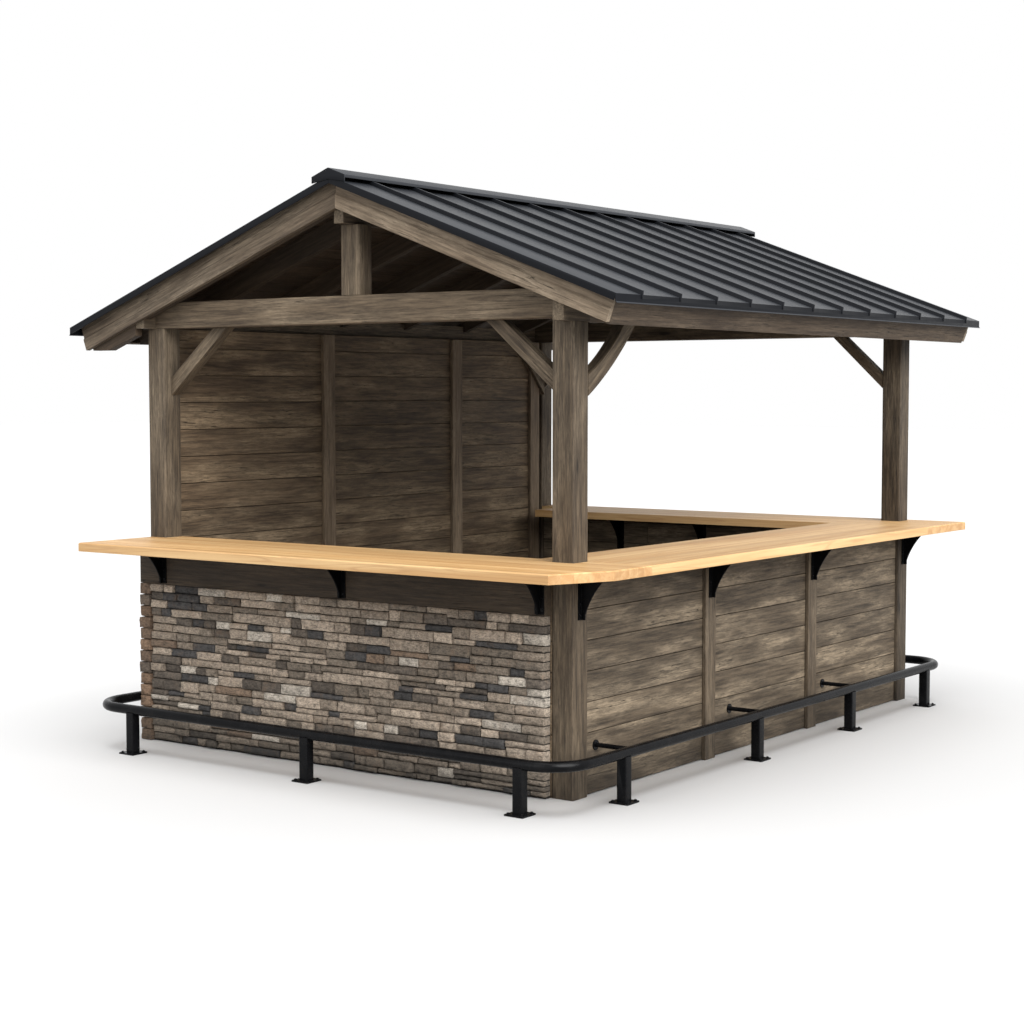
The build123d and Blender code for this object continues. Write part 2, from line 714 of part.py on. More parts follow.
def make_counters():
    left_end = LEFT + COUNTER_END_INSET
    front_edge = FRONT - COUNTER_FRONT_REACH
    back_edge = BACK + COUNTER_BACK_REACH
    with BuildPart() as front:
        block(
            left_end,
            COUNTER_RIGHT_EDGE,
            front_edge,
            COUNTER_FRONT_INNER,
            COUNTER_UNDERSIDE,
            COUNTER_TOP,
        )
        cut_corner(COUNTER_RIGHT_EDGE, front_edge)
        ease_top(front, lambda edge: edge.center().Y < COUNTER_FRONT_INNER - 1)
        cut_round_post(LEFT, FRONT)
        cut_round_post(RIGHT - POST, FRONT)
    write(front.part, "counter_front")

    with BuildPart() as right:
        block(
            COUNTER_RIGHT_EDGE - COUNTER_RIGHT_DEPTH,
            COUNTER_RIGHT_EDGE,
            COUNTER_FRONT_INNER,
            COUNTER_BACK_INNER,
            COUNTER_UNDERSIDE,
            COUNTER_TOP,
        )
        ease_top(right, lambda edge: edge.center().X > COUNTER_RIGHT_EDGE - 1)
    write(right.part, "counter_right")

    with BuildPart() as back:
        block(
            left_end,
            COUNTER_RIGHT_EDGE,
            COUNTER_BACK_INNER,
            back_edge,
            COUNTER_UNDERSIDE,
            COUNTER_TOP,
        )
        ease_top(back, lambda edge: edge.center().Y > COUNTER_BACK_INNER + 1)
        block(
            left_end - SCRIBE_GAP,
            LEFT + WALL_INSIDE + COUNTER_BACK_SHORT,
            COUNTER_BACK_INNER - SCRIBE_GAP,
            BACK - POST,
            COUNTER_UNDERSIDE,
            COUNTER_TOP,
            mode=Mode.SUBTRACT,
        )
        cut_round_post(LEFT, BACK - POST)
        cut_round_post(RIGHT - POST, BACK - POST)
    write(back.part, "counter_back")


def add_bracket(root, outward, drop):
    """Welded bracket: a flat on the wall, an arm under the counter and a hollow-edged web."""
    plane = Plane(origin=root, x_dir=outward, z_dir=Vector(*outward).cross(Vector(0, 0, 1)))
    head = (BRACKET_WEB_REACH, -BRACKET_NOSE)
    foot = (BRACKET_NOSE, BRACKET_NOSE - drop)
    with BuildSketch(plane) as web:
        with BuildLine():
            Polyline(foot, (BRACKET_NOSE, -drop), (0, -drop), (0, 0), (BRACKET_WEB_REACH, 0), head)
            SagittaArc(head, foot, -BRACKET_HOLLOW)
        make_face()
    extrude(web.sketch, amount=BRACKET_WEB / 2, both=True)
    with BuildSketch(plane) as flats:
        with BuildLine():
            Polyline(
                (0, 0),
                (BRACKET_REACH, 0),
                (BRACKET_REACH, -BRACKET_ARM_THICK),
                (BRACKET_PLATE, -BRACKET_ARM_THICK),
                (BRACKET_PLATE, -drop),
                (0, -drop),
                close=True,
            )
        make_face()
    extrude(flats.sketch, amount=BRACKET_FLAT / 2, both=True)


def make_brackets():
    first, last = LEFT + FRONT_BRACKET_INSET, RIGHT - FRONT_BRACKET_INSET
    with BuildPart() as front:
        for x in (first, *places_in(first, last, FRONT_BRACKET_BAYS), last):
            root = (x, FRONT - TRIM_DEPTH, COUNTER_UNDERSIDE)
            add_bracket(root, (0, -1, 0), BRACKET_FRONT_DROP)
    write(front.part, "brackets_front")

    half = POST / 2
    with BuildPart() as right:
        for y in (FRONT + half, *thirds(FRONT + POST, BACK - POST), BACK - half):
            add_bracket((RIGHT, y, COUNTER_UNDERSIDE), (1, 0, 0), BRACKET_WALL_DROP)
    write(right.part, "brackets_right")

    with BuildPart() as back:
        for x in places_in(LEFT + POST, RIGHT - POST, (1, 1, 1, 1)):
            root = (x, BACK - WALL_INSIDE, COUNTER_UNDERSIDE)
            add_bracket(root, (0, -1, 0), BRACKET_WALL_DROP)
    write(back.part, "brackets_back")


RAIL_LEFT_X = LEFT - RAIL_LEFT_GAP
RAIL_FRONT_Y = FRONT - RAIL_FRONT_GAP
RAIL_RIGHT_X = RIGHT + RAIL_RIGHT_GAP
RAIL_BACK_Y = BACK + RAIL_BACK_GAP
RAIL_LEFT_END = FRONT + RAIL_LEFT_RETURN
RAIL_BACK_END = RIGHT - RAIL_BACK_RETURN


def leg_places(low, high, insets, bays):
    """Places of the legs along a straight run of the rail between two bends."""
    first, last = low + RAIL_BEND + insets[0], high - RAIL_BEND - insets[1]
    return [first, *places_in(first, last, bays), last]


FRONT_LEGS = leg_places(RAIL_LEFT_X, RAIL_RIGHT_X, FRONT_LEG_INSETS, FRONT_LEG_BAYS)
RIGHT_LEGS = leg_places(RAIL_FRONT_Y, RAIL_BACK_Y, RIGHT_LEG_INSETS, RIGHT_LEG_BAYS)


def rail_solid(mode=Mode.ADD):
    """Round rail along the front and the right, returned at both ends."""
    with BuildLine() as route:
        FilletPolyline(
            (RAIL_LEFT_X, RAIL_LEFT_END, RAIL_HEIGHT),
            (RAIL_LEFT_X, RAIL_FRONT_Y, RAIL_HEIGHT),
            (RAIL_RIGHT_X, RAIL_FRONT_Y, RAIL_HEIGHT),
            (RAIL_RIGHT_X, RAIL_BACK_Y, RAIL_HEIGHT),
            (RAIL_BACK_END, RAIL_BACK_Y, RAIL_HEIGHT),
            radius=RAIL_BEND,
        )
    start = Plane(origin=route.line @ 0, z_dir=route.line % 0)
    with BuildSketch(start) as ring:
        Circle(RAIL_RADIUS)
    sweep(ring.sketch, path=route.line, mode=mode)


def make_foot_rail():
    with BuildPart() as rail:
        rail_solid()
    write(rail.part, "foot_rail")


def add_leg(x, y):
    """Square tube leg on a foot plate, its head saddled under the rail."""
    with BuildSketch(Plane.XY.offset(FOOT_THICK)) as tube:
        with Locations((x, y)):
            RectangleRounded(LEG_SIZE, LEG_SIZE, LEG_CORNER)
    extrude(tube.sketch, amount=RAIL_HEIGHT - RAIL_RADIUS + LEG_SADDLE - FOOT_THICK)
    half = FOOT_PLATE / 2
    block(x - half, x + half, y - half, y + half, 0, FOOT_THICK)


def make_legs():
    with BuildPart() as front:
        for x in FRONT_LEGS:
            add_leg(x, RAIL_FRONT_Y)
        rail_solid(mode=Mode.SUBTRACT)
    write(front.part, "rail_legs_front")

    with BuildPart() as right:
        for y in RIGHT_LEGS:
            add_leg(RAIL_RIGHT_X, y)
        rail_solid(mode=Mode.SUBTRACT)
    write(right.part, "rail_legs_right")


def add_stay(root, outward, length):
    """Short stay from a wall flange to the rail."""
    with BuildSketch(Plane(origin=root, z_dir=outward)) as rod:
        Circle(STAY_RADIUS)
    extrude(rod.sketch, amount=length)
    with BuildSketch(Plane(origin=root, z_dir=outward)) as flange:
        Circle(STAY_FLANGE_RADIUS)
    extrude(flange.sketch, amount=STAY_FLANGE_THICK)


def make_stays():
    wall_face = RIGHT - CLADDING_RECESS
    with BuildPart() as stays:
        for y in RIGHT_LEGS[:-1]:
            root = (wall_face, y + STAY_OFFSET, RAIL_HEIGHT)
            add_stay(root, (1, 0, 0), RAIL_RIGHT_X - wall_face)
        left_root = (LEFT, RAIL_LEFT_END - RETURN_STAY_INSET, RAIL_HEIGHT)
        add_stay(left_root, (-1, 0, 0), RAIL_LEFT_GAP)
        back_root = (RAIL_BACK_END + RETURN_STAY_INSET, BACK, RAIL_HEIGHT)
        add_stay(back_root, (0, 1, 0), RAIL_BACK_GAP)
        rail_solid(mode=Mode.SUBTRACT)
    write(stays.part, "rail_stays")


os.makedirs("parts", exist_ok=True)
make_posts()
make_tie_beams()
make_eave_beams()
make_ridge_beam()
make_king_posts()
make_gable_braces()
make_side_braces()
make_rafters()
make_gable_rafters()
make_decks()
make_barge_boards()
make_fascias()
make_roof_sheets()
make_ridge_cap()
make_left_wall()
make_right_wall()
make_back_wall()
make_front_wall()
make_counters()
make_brackets()
make_foot_rail()
make_legs()
make_stays()
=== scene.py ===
"""Looks of the garden bar pavilion: weathered timber, split stone, folded steel
roofing, a glued timber counter and a painted steel foot rail, in a plain studio.
"""

import math
import random

import bpy
import numpy as np
from mathutils import Matrix, Vector


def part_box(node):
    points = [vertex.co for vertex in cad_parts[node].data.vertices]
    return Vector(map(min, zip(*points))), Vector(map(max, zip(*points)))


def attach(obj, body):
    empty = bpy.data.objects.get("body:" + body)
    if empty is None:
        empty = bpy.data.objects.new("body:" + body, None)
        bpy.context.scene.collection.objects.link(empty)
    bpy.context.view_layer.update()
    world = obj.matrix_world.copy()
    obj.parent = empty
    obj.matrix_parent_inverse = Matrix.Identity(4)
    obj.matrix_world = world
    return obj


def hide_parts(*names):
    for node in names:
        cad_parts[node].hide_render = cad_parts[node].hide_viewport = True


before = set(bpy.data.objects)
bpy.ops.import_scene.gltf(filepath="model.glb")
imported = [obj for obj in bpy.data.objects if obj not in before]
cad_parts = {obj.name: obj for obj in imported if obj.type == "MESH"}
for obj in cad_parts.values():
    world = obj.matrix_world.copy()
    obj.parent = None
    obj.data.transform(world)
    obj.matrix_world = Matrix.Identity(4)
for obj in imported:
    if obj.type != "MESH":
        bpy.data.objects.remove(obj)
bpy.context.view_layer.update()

draw = random.Random(11)

X = Vector((1, 0, 0))
Y = Vector((0, 1, 0))
Z = Vector((0, 0, 1))

# The photograph's frame is 1024 pixels wide, and its focal length is known in those pixels
PHOTO_WIDTH = 1024
PHOTO_FOCAL = 1899.5
SENSOR = 36.0
EYE_FROM_POSTS = Vector((6.118, -8.8225, 1.8448))
LOOK_LEFT = math.radians(35.942)
LOOK_DOWN = math.radians(3.597)

# The posts' outer corners, which the camera and the foot rail are measured from
FRAME_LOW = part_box("post_front_left")[0]
FRAME_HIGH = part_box("post_back_right")[1]

# Distances that count as nothing, in metres, and angles that count as flat or sharp, in degrees
SAME_CORNER = 0.00004
NEARLY_THERE = 0.0001
A_HAIR = 0.001
FLAT_ANGLE = 0.6
SHARP_ANGLE = 28
STONE_SHARP_ANGLE = 50

# Sizes of what is shaped here, in metres
TIMBER_ARRIS = 0.0025
SMALLEST_BOARD = 0.004

BOARD_GAP = 0.0038
BOARD_ARRIS = 0.002
BOARD_END_GAP = 0.0008
BOARD_LIFT = 0.002
LEFT_WALL_PITCH = 0.1446
LEFT_WALL_JOINT = 2.083
LEFT_WALL_BREAK = -0.52
LOW_WALL_PITCH = 0.1425
LOW_WALL_JOINT = 0.858
WALL_CORE_SETBACK = 0.014

BATTEN = 0.1
BATTEN_ARRIS = 0.0035
BATTEN_RECESS = 0.022
INSIDE_BATTENS = (-0.48, 0.74, 1.59)

ROOF_BOARD = 0.118
ROOF_BOARD_THICK = 0.022
ROOF_BOARD_ARRIS = 0.0025
STAVE = 0.062
STAVE_ARRIS = 0.0009

STONE_PATTERNS = 7
STONE_SLICES = 7
SLICE_DRIFT = 0.2
STONE_LEDGES = (-0.18, 0.16)
STONE_BANDS = 10
STRETCH_LENGTHS = (0.34, 0.75)
SHORTEST_STRETCH = 0.2
STONE_LENGTHS = (0.055, 0.27, 0.11)
SHORTEST_STONE = 0.06
STONE_SETBACKS = (0.002, 0.022)
STONE_BACK_GAP = 0.004
STONE_JOINT = 0.0048
STONE_ARRIS = 0.0017
STONE_LUMPS = 0.0045
STONE_LUMP_SIZE = 0.035
STONE_LEAN = 0.003
STONE_ROUGHNESS = 0.0025
STONE_EDGE_DROPS = (0.002, 0.006)
STONE_EDGE_FALL = (0.012, 0.008)
STONE_OUTLINE_DRIFT = (0.0015, 0.0012)
STONE_SHADES = (0.78, 1.2)
GROUND_GAP = 0.009
QUOIN_WIDTH = 0.083
QUOIN_HEIGHT = 0.062
QUOIN_LEFT_SETBACK = 0.008
QUOIN_RIGHT_DRIFT = 0.002
QUOIN_SETBACK = 0.01
MORTAR_DEPTH = 0.034
MORTAR_INSETS = (0.012, 0.006, 0.004)
MORTAR_ARRIS = 0.003

ROOF_ARRIS = 0.0012
FOLD_STEEPNESS = 0.55
STEEL_ARRIS = 0.001
RAIL_SIDES = 36
BEND_STEPS = 14
RAIL_BEND = 0.19
RAIL_LEFT_END = 0.16
RAIL_BACK_END = 0.11
RAIL_END_ARRIS = 0.003

BOLT_RADIUS = 0.0065
BOLT_HEAD = 0.005
BOLT_LIFT = 0.0015
BOLT_ARRIS = 0.0008
WASHER_THICK = 0.002
WASHER_ARRIS = 0.0004
FOOT_BOLTS = (-0.037, 0.037)
FOOT_PLATE_TOP = 0.008
BRACKET_BOLT_HEIGHTS = (0.022, 0.075)
BRACKET_BOLT_SIDES = (-0.0155, 0.0155)
BRACKET_FLAT = 0.006

# Width of each light as seen from the pavilion, in degrees, and the studio floor in metres
LIGHT_SPREAD = 50
FLOOR_SIZE = 160


def clear_selection():
    if bpy.context.mode != "OBJECT":
        bpy.ops.object.mode_set(mode="OBJECT")
    bpy.ops.object.select_all(action="DESELECT")


def pick(piece):
    """Select one piece only, and make it the active one."""
    clear_selection()
    piece.select_set(True)
    bpy.context.view_layer.objects.active = piece


def edit(piece, kind="FACE"):
    """Open a piece in edit mode with everything selected."""
    pick(piece)
    bpy.ops.object.mode_set(mode="EDIT")
    bpy.ops.mesh.select_mode(type=kind)
    bpy.ops.mesh.select_all(action="SELECT")


def leave_edit():
    bpy.ops.object.mode_set(mode="OBJECT")


def apply(piece, kind, **settings):
    """Put a modifier on a piece and apply it."""
    pick(piece)
    modifier = piece.modifiers.new(kind.lower(), kind)
    for key, value in settings.items():
        setattr(modifier, key, value)
    bpy.ops.object.modifier_apply(modifier=modifier.name)


def ease(piece, width, segments=2):
    """Round every sharp arris."""
    apply(
        piece,
        "BEVEL",
        width=width,
        segments=segments,
        limit_method="ANGLE",
        angle_limit=math.radians(SHARP_ANGLE),
        use_clamp_overlap=True,
    )


def smooth(piece, angle=35):
    pick(piece)
    bpy.ops.object.shade_smooth_by_angle(angle=math.radians(angle))


def block(name, low, high):
    """A square block of stock between two corners."""
    low, high = Vector(low), Vector(high)
    clear_selection()
    bpy.ops.mesh.primitive_cube_add(size=1, location=(low + high) / 2, scale=high - low)
    piece = bpy.context.object
    piece.name = name
    bpy.ops.object.transform_apply(location=True, rotation=True, scale=True)
    return piece


def copy_piece(piece, name, matrix=None):
    """A copy with a mesh of its own, its shape moved by the matrix."""
    twin = bpy.data.objects.new(name, piece.data.copy())
    bpy.context.scene.collection.objects.link(twin)
    if matrix is not None:
        twin.data.transform(matrix)
    return twin


def join(pieces, name):
    """Join pieces into the first of them and name it."""
    clear_selection()
    for piece in pieces:
        piece.select_set(True)
    bpy.context.view_layer.objects.active = pieces[0]
    if len(pieces) > 1:
        bpy.ops.object.join()
    pieces[0].name = name
    return pieces[0]


def split_solids(piece):
    """Take a piece apart into its separate solids."""
    edit(piece)
    bpy.ops.mesh.separate(type="LOOSE")
    leave_edit()
    return list(bpy.context.selected_objects)


def shape_of(node, name):
    """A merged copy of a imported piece, ready to be worked on."""
    piece = copy_piece(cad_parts[node], name)
    piece.data.materials.clear()
    edit(piece, "VERT")
    bpy.ops.mesh.remove_doubles(threshold=SAME_CORNER)
    bpy.ops.mesh.dissolve_limited(angle_limit=math.radians(FLAT_ANGLE))
    leave_edit()
    bpy.ops.mesh.customdata_custom_splitnormals_clear()
    return piece


def corner_data(mesh):
    """Vertex positions, the vertex of each face corner, and the face of each face corner."""
    points = np.empty(len(mesh.vertices) * 3)
    mesh.vertices.foreach_get("co", points)
    corner_vertex = np.empty(len(mesh.loops), dtype=np.int64)
    mesh.loops.foreach_get("vertex_index", corner_vertex)
    sizes = np.empty(len(mesh.polygons), dtype=np.int64)
    mesh.polygons.foreach_get("loop_total", sizes)
    return points.reshape(-1, 3), corner_vertex, np.repeat(np.arange(len(sizes)), sizes)


def longest_way(points):
    """Direction in which a board is longest, with its largest part positive."""
    values, axes = np.linalg.eigh(np.cov((points - points.mean(0)).T))
    along = axes[:, np.argmax(values)]
    return along * np.sign(along[np.argmax(np.abs(along))])


def lay_grain(piece, along=None, tone=None):
    """Write on a board where its grain runs, how its tone differs and where its end grain shows."""
    mesh = piece.data
    points, corner_vertex, corner_face = corner_data(mesh)
    along = longest_way(points) if along is None else np.array(along, dtype=float)
    side = np.cross(along, (0.0, 0.0, 1.0))
    if np.linalg.norm(side) < 0.1:
        side = np.cross(along, (0.0, 1.0, 0.0))
    side /= np.linalg.norm(side)
    depth = np.cross(along, side)
    shift = np.array([draw.uniform(0, 20) for _ in range(3)])
    place = points @ np.stack([along, side, depth]).T + shift
    grain = mesh.attributes.new("grain", "FLOAT_VECTOR", "CORNER")
    grain.data.foreach_set("vector", place[corner_vertex].ravel())
    value = draw.uniform(-1, 1) if tone is None else tone
    tones = mesh.attributes.new("tone", "FLOAT", "CORNER")
    tones.data.foreach_set("value", np.full(len(corner_vertex), value))
    normals = np.empty(len(mesh.polygons) * 3)
    mesh.polygons.foreach_get("normal", normals)
    facing = np.abs(normals.reshape(-1, 3) @ along) > 0.8
    ends = mesh.attributes.new("end_grain", "FLOAT", "CORNER")
    ends.data.foreach_set("value", facing.astype(float)[corner_face])
    return piece


def finish_piece(piece, material, nodes=()):
    """Give a finished piece its material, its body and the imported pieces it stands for."""
    piece.data.materials.clear()
    piece.data.materials.append(material)
    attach(piece, "root")
    if nodes:
        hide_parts(*nodes)
    return piece


def saw(piece, direction, first, width, gap):
    """Saw a piece into boards by parallel cuts, leaving a gap between them."""
    direction = Vector(direction).normalized()
    reach = [direction @ vertex.co for vertex in piece.data.vertices]
    low, high = min(reach), max(reach)
    start = first - math.ceil((first - low) / width) * width
    boards = []
    while start < high:
        lower, upper = max(start, low), min(start + width, high)
        if upper - lower > SMALLEST_BOARD:
            board = copy_piece(piece, piece.name + "_board")
            edit(board)
            if lower > low:
                cut_away(direction, lower + gap / 2, below=True)
            if upper < high:
                bpy.ops.mesh.select_all(action="SELECT")
                cut_away(direction, upper - gap / 2, below=False)
            leave_edit()
            boards.append(board)
        start += width
    bpy.data.objects.remove(piece)
    return boards


def cut_away(direction, distance, below):
    bpy.ops.mesh.bisect(
        plane_co=direction * distance,
        plane_no=direction,
        use_fill=True,
        clear_inner=below,
        clear_outer=not below,
    )


class Value:
    """A value or vector on a surface, so that sums on it are written as sums."""

    def __init__(self, finish, socket):
        self.finish = finish
        self.socket = socket

    def _math(self, operation, *values, clamp=False):
        settings = {"operation": operation, "use_clamp": clamp}
        return self.finish.node("ShaderNodeMath", settings, dict(enumerate(values)))

    def __add__(self, other):
        return self._math("ADD", self, other)

    __radd__ = __add__

    def __sub__(self, other):
        return self._math("SUBTRACT", self, other)

    def __rsub__(self, other):
        return self._math("SUBTRACT", other, self)

    def __mul__(self, other):
        return self._math("MULTIPLY", self, other)

    __rmul__ = __mul__

    def __abs__(self):
        return self._math("ABSOLUTE", self)

    def between(self, low, high):
        """0 below the first value, 1 above the second, smooth between."""
        settings = {"interpolation_type": "SMOOTHSTEP", "clamp": True}
        inputs = {"Value": self, "From Min": low, "From Max": high}
        return self.finish.node("ShaderNodeMapRange", settings, inputs)

    def clamped(self):
        return self._math("ADD", self, 0.0, clamp=True)

    def ridges(self, count):
        """Evenly repeated ridges, for growth lines: 0 in the hollows, 1 on the crests."""
        return abs(self._math("FRACT", self * count) - 0.5) * 2.0


class Finish:
    """One material, built from nodes."""

    def __init__(self, name):
        self.material = bpy.data.materials.new(name)
        self.material.use_nodes = True
        self.tree = self.material.node_tree
        self.tree.nodes.clear()

    def node(self, kind, settings=None, inputs=None, output=0):
        node = self.tree.nodes.new(kind)
        for key, value in (settings or {}).items():
            setattr(node, key, value)
        for key, value in (inputs or {}).items():
            socket = node.inputs[key]
            if isinstance(value, Value):
                self.tree.links.new(value.socket, socket)
            else:
                socket.default_value = value
        return Value(self, node.outputs[output]) if node.outputs else None

    def attribute(self, name, output="Vector"):
        return self.node("ShaderNodeAttribute", {"attribute_name": name}, output=output)

    def place(self):
        return self.node("ShaderNodeTexCoord", output="Object")

    def height(self):
        """Height above the ground."""
        return self.node("ShaderNodeSeparateXYZ", None, {0: self.place()}, output=2)

    def stretched(self, vector, scale):
        """Place scaled by its own amount each way, so that a pattern is drawn out."""
        return self.node("ShaderNodeMapping", None, {"Vector": vector, "Scale": scale})

    def noise(self, vector, scale=1.0, detail=3.0, roughness=0.5, distortion=0.0):
        inputs = {
            "Vector": vector,
            "Scale": scale,
            "Detail": detail,
            "Roughness": roughness,
            "Distortion": distortion,
        }
        return self.node("ShaderNodeTexNoise", None, inputs)

    def cells(self, vector):
        """Distance from the nearest of many scattered points."""
        inputs = {"Vector": vector, "Scale": 1.0}
        return self.node("ShaderNodeTexVoronoi", {"feature": "F1"}, inputs)

    def mix(self, first, second, share):
        """Blend two colours."""
        first = (*first, 1.0) if isinstance(first, tuple) else first
        second = (*second, 1.0) if isinstance(second, tuple) else second
        inputs = {0: share, 6: first, 7: second}
        return self.node("ShaderNodeMix", {"data_type": "RGBA"}, inputs, output=2)

    def shade(self, colour, amount):
        """Multiply a colour by a value."""
        inputs = {0: colour, "Scale": amount}
        return self.node("ShaderNodeVectorMath", {"operation": "SCALE"}, inputs)

    def relief(self, height, depth, over=None):
        """Bump the surface by a height, over another bump where one is given."""
        inputs = {"Height": height, "Strength": 1.0, "Distance": depth}
        if over is not None:
            inputs["Normal"] = over
        return self.node("ShaderNodeBump", None, inputs)

    def close(self, colour, roughness, normal=None, specular=0.5):
        """Set the surface and finish the material."""
        inputs = {
            "Base Color": (*colour, 1.0) if isinstance(colour, tuple) else colour,
            "Roughness": roughness,
            "Specular IOR Level": specular,
        }
        if normal is not None:
            inputs["Normal"] = normal
        shader = self.node("ShaderNodeBsdfPrincipled", None, inputs)
        self.node("ShaderNodeOutputMaterial", None, {"Surface": shader})
        return self.material


def weathered_timber(name, deep, body, pale, worn=0.6, contrast=0.8):
    """Stained softwood, greyed by weather: growth lines, pale worn blotches, fine cracks, knots,
    and painted shade towards the ground.
    """
    f = Finish(name)
    grain = f.attribute("grain")
    tone = f.attribute("tone", "Fac")
    end = f.attribute("end_grain", "Fac")
    fibres = f.noise(f.stretched(grain, (9.0, 300.0, 300.0)), detail=4.0, roughness=0.75)
    coarse = f.noise(
        f.stretched(grain, (3.2, 66.0, 66.0)), detail=5.0, roughness=0.8, distortion=0.15
    )
    figure = f.noise(
        f.stretched(grain, (0.5, 8.0, 8.0)), detail=2.0, roughness=0.4, distortion=0.5
    )
    growth = figure.ridges(13.0)
    patch = f.noise(
        f.stretched(grain, (1.9, 10.0, 10.0)), detail=2.0, roughness=0.5, distortion=0.25
    )
    mottle = f.noise(
        f.stretched(grain, (15.0, 80.0, 80.0)), detail=5.0, roughness=0.72, distortion=0.6
    )
    stain = f.noise(
        f.stretched(grain, (1.3, 5.0, 5.0)), detail=4.0, roughness=0.7, distortion=0.4
    )
    crack = abs(f.noise(f.stretched(grain, (1.4, 58.0, 58.0)), detail=2.0) - 0.5)
    cracks = (1.0 - crack.between(0.0, 0.008)) * patch.between(0.46, 0.62)
    knot_cells = f.cells(f.stretched(grain, (1.15, 4.6, 4.6)))
    knot = 1.0 - knot_cells.between(0.03, 0.065)
    halo = (1.0 - knot_cells.between(0.05, 0.18)) * 0.4

    share = growth.between(0.05, 0.8) * 0.25 + coarse.between(0.36, 0.64) * 0.5 + fibres * 0.25
    colour = f.mix(deep, body, share.clamped())
    bare = patch.between(0.38, 0.74) * (0.5 + 0.5 * mottle.between(0.36, 0.64))
    colour = f.mix(colour, pale, (bare * worn).clamped())
    dark = tuple(0.3 * channel for channel in deep)
    colour = f.mix(colour, deep, (1.0 - stain.between(0.3, 0.5)) * 0.4)
    colour = f.mix(colour, dark, (cracks * 0.8).clamped())
    colour = f.mix(colour, dark, (knot * 0.7 + halo * 0.5).clamped())
    colour = f.mix(colour, pale, end * (0.15 + 0.3 * coarse))
    lines = ((fibres - 0.5) + (coarse - 0.5) + (mottle - 0.5) * 0.5) * contrast
    # Painted shade: the colour is darkened towards the ground, to 0.6 at the foot
    painted_low_shade = 0.6 + 0.4 * f.height().between(0.0, 0.3)
    colour = f.shade(colour, (1.0 + tone * 0.14 + lines) * painted_low_shade)

    height = fibres * 0.5 + coarse * 0.6 + growth * 0.1 + mottle * 0.3 - cracks * 1.6 - knot * 0.4
    rough = 0.68 + (0.5 - fibres) * 0.25 + patch * 0.1
    return f.close(colour, rough.clamped(), f.relief(height, 0.0022), specular=0.25)


def glued_counter(name):
    """Honey coloured glued staves under a satin lacquer."""
    f = Finish(name)
    grain = f.attribute("grain")
    tone = f.attribute("tone", "Fac")
    end = f.attribute("end_grain", "Fac")
    lines = f.noise(f.stretched(grain, (2.2, 150.0, 150.0)), detail=5.0, roughness=0.66)
    figure = f.noise(f.stretched(grain, (0.6, 11.0, 11.0)), detail=2.0, distortion=0.5).ridges(9.0)
    bands = f.noise(f.stretched(grain, (0.7, 22.0, 22.0)), detail=2.0, distortion=0.5)
    pores = f.noise(f.stretched(grain, (26.0, 420.0, 420.0)), detail=2.0)
    colour = f.mix((0.345, 0.192, 0.073), (0.470, 0.310, 0.147), bands.between(0.3, 0.7))
    colour = f.mix(colour, (0.275, 0.145, 0.050), lines.between(0.5, 0.74) * 0.5)
    colour = f.mix(colour, (0.25, 0.125, 0.05), (1.0 - figure.between(0.0, 0.35)) * 0.35)
    colour = f.mix(colour, (0.2, 0.1, 0.04), pores.between(0.62, 0.75) * 0.35)
    colour = f.mix(colour, (0.27, 0.145, 0.062), end * 0.4)
    colour = f.shade(colour, 1.0 + tone * 0.09)
    height = lines * 0.5 - pores.between(0.6, 0.75) * 0.6
    rough = 0.42 + lines * 0.16
    return f.close(colour, rough, f.relief(height, 0.0005), specular=0.35)


def split_stone(name):
    """Split stone, each block with its own colour, mottled and finely tooled, with painted shade
    towards the ground.
    """
    f = Finish(name)
    place = f.place()
    base = f.attribute("stone", "Color")
    grit = f.noise(place, scale=420.0, detail=3.0, roughness=0.7)
    mottle = f.noise(place, scale=38.0, detail=6.0, roughness=0.7)
    cloud = f.noise(place, scale=13.0, detail=3.0, roughness=0.6)
    tooling = f.noise(f.stretched(place, (330.0, 330.0, 34.0)), detail=4.0, roughness=0.7)
    seams = f.noise(
        f.stretched(place, (9.0, 9.0, 130.0)), detail=4.0, roughness=0.65, distortion=0.3
    )
    chisel = f.noise(
        f.stretched(place, (62.0, 62.0, 150.0)), detail=4.0, roughness=0.75, distortion=0.4
    )
    worked = mottle.between(0.34, 0.66) * 0.45 + chisel.between(0.38, 0.62) * 0.62
    worked = worked + tooling.between(0.34, 0.66) * 0.3
    amount = 0.24 + worked + (grit - 0.5) * 0.5 + (cloud - 0.5) * 0.4
    colour = f.shade(base, amount * 1.12)
    rust = cloud.between(0.5, 0.7) * mottle.between(0.42, 0.6)
    colour = f.mix(colour, (0.105, 0.064, 0.037), rust * 0.42)
    soot = (1.0 - seams.between(0.26, 0.42)) * 0.5 + (1.0 - mottle.between(0.3, 0.42)) * 0.35
    # Painted shade: the stone is darkened towards the ground; the dark noise patches above are the
    # stone's own colour
    painted_low_shade = (1.0 - f.height().between(0.0, 0.28)) * 0.6
    colour = f.mix(colour, (0.016, 0.0145, 0.0125), (soot + painted_low_shade).clamped())
    height = mottle * 0.8 + chisel * 0.9 + tooling * 0.6 + grit * 0.25 + seams * 0.4
    rough = 0.78 + grit * 0.16
    return f.close(colour, rough.clamped(), f.relief(height, 0.0045), specular=0.25)


def mortar(name):
    """Dark mortar behind the stones."""
    f = Finish(name)
    place = f.place()
    grit = f.noise(place, scale=300.0, detail=4.0, roughness=0.7)
    lumps = f.noise(place, scale=34.0, detail=3.0)
    colour = f.mix((0.008, 0.007, 0.006), (0.026, 0.022, 0.018), grit * lumps.between(0.3, 0.7))
    return f.close(colour, 0.9, f.relief(grit * 0.5 + lumps, 0.003), specular=0.2)


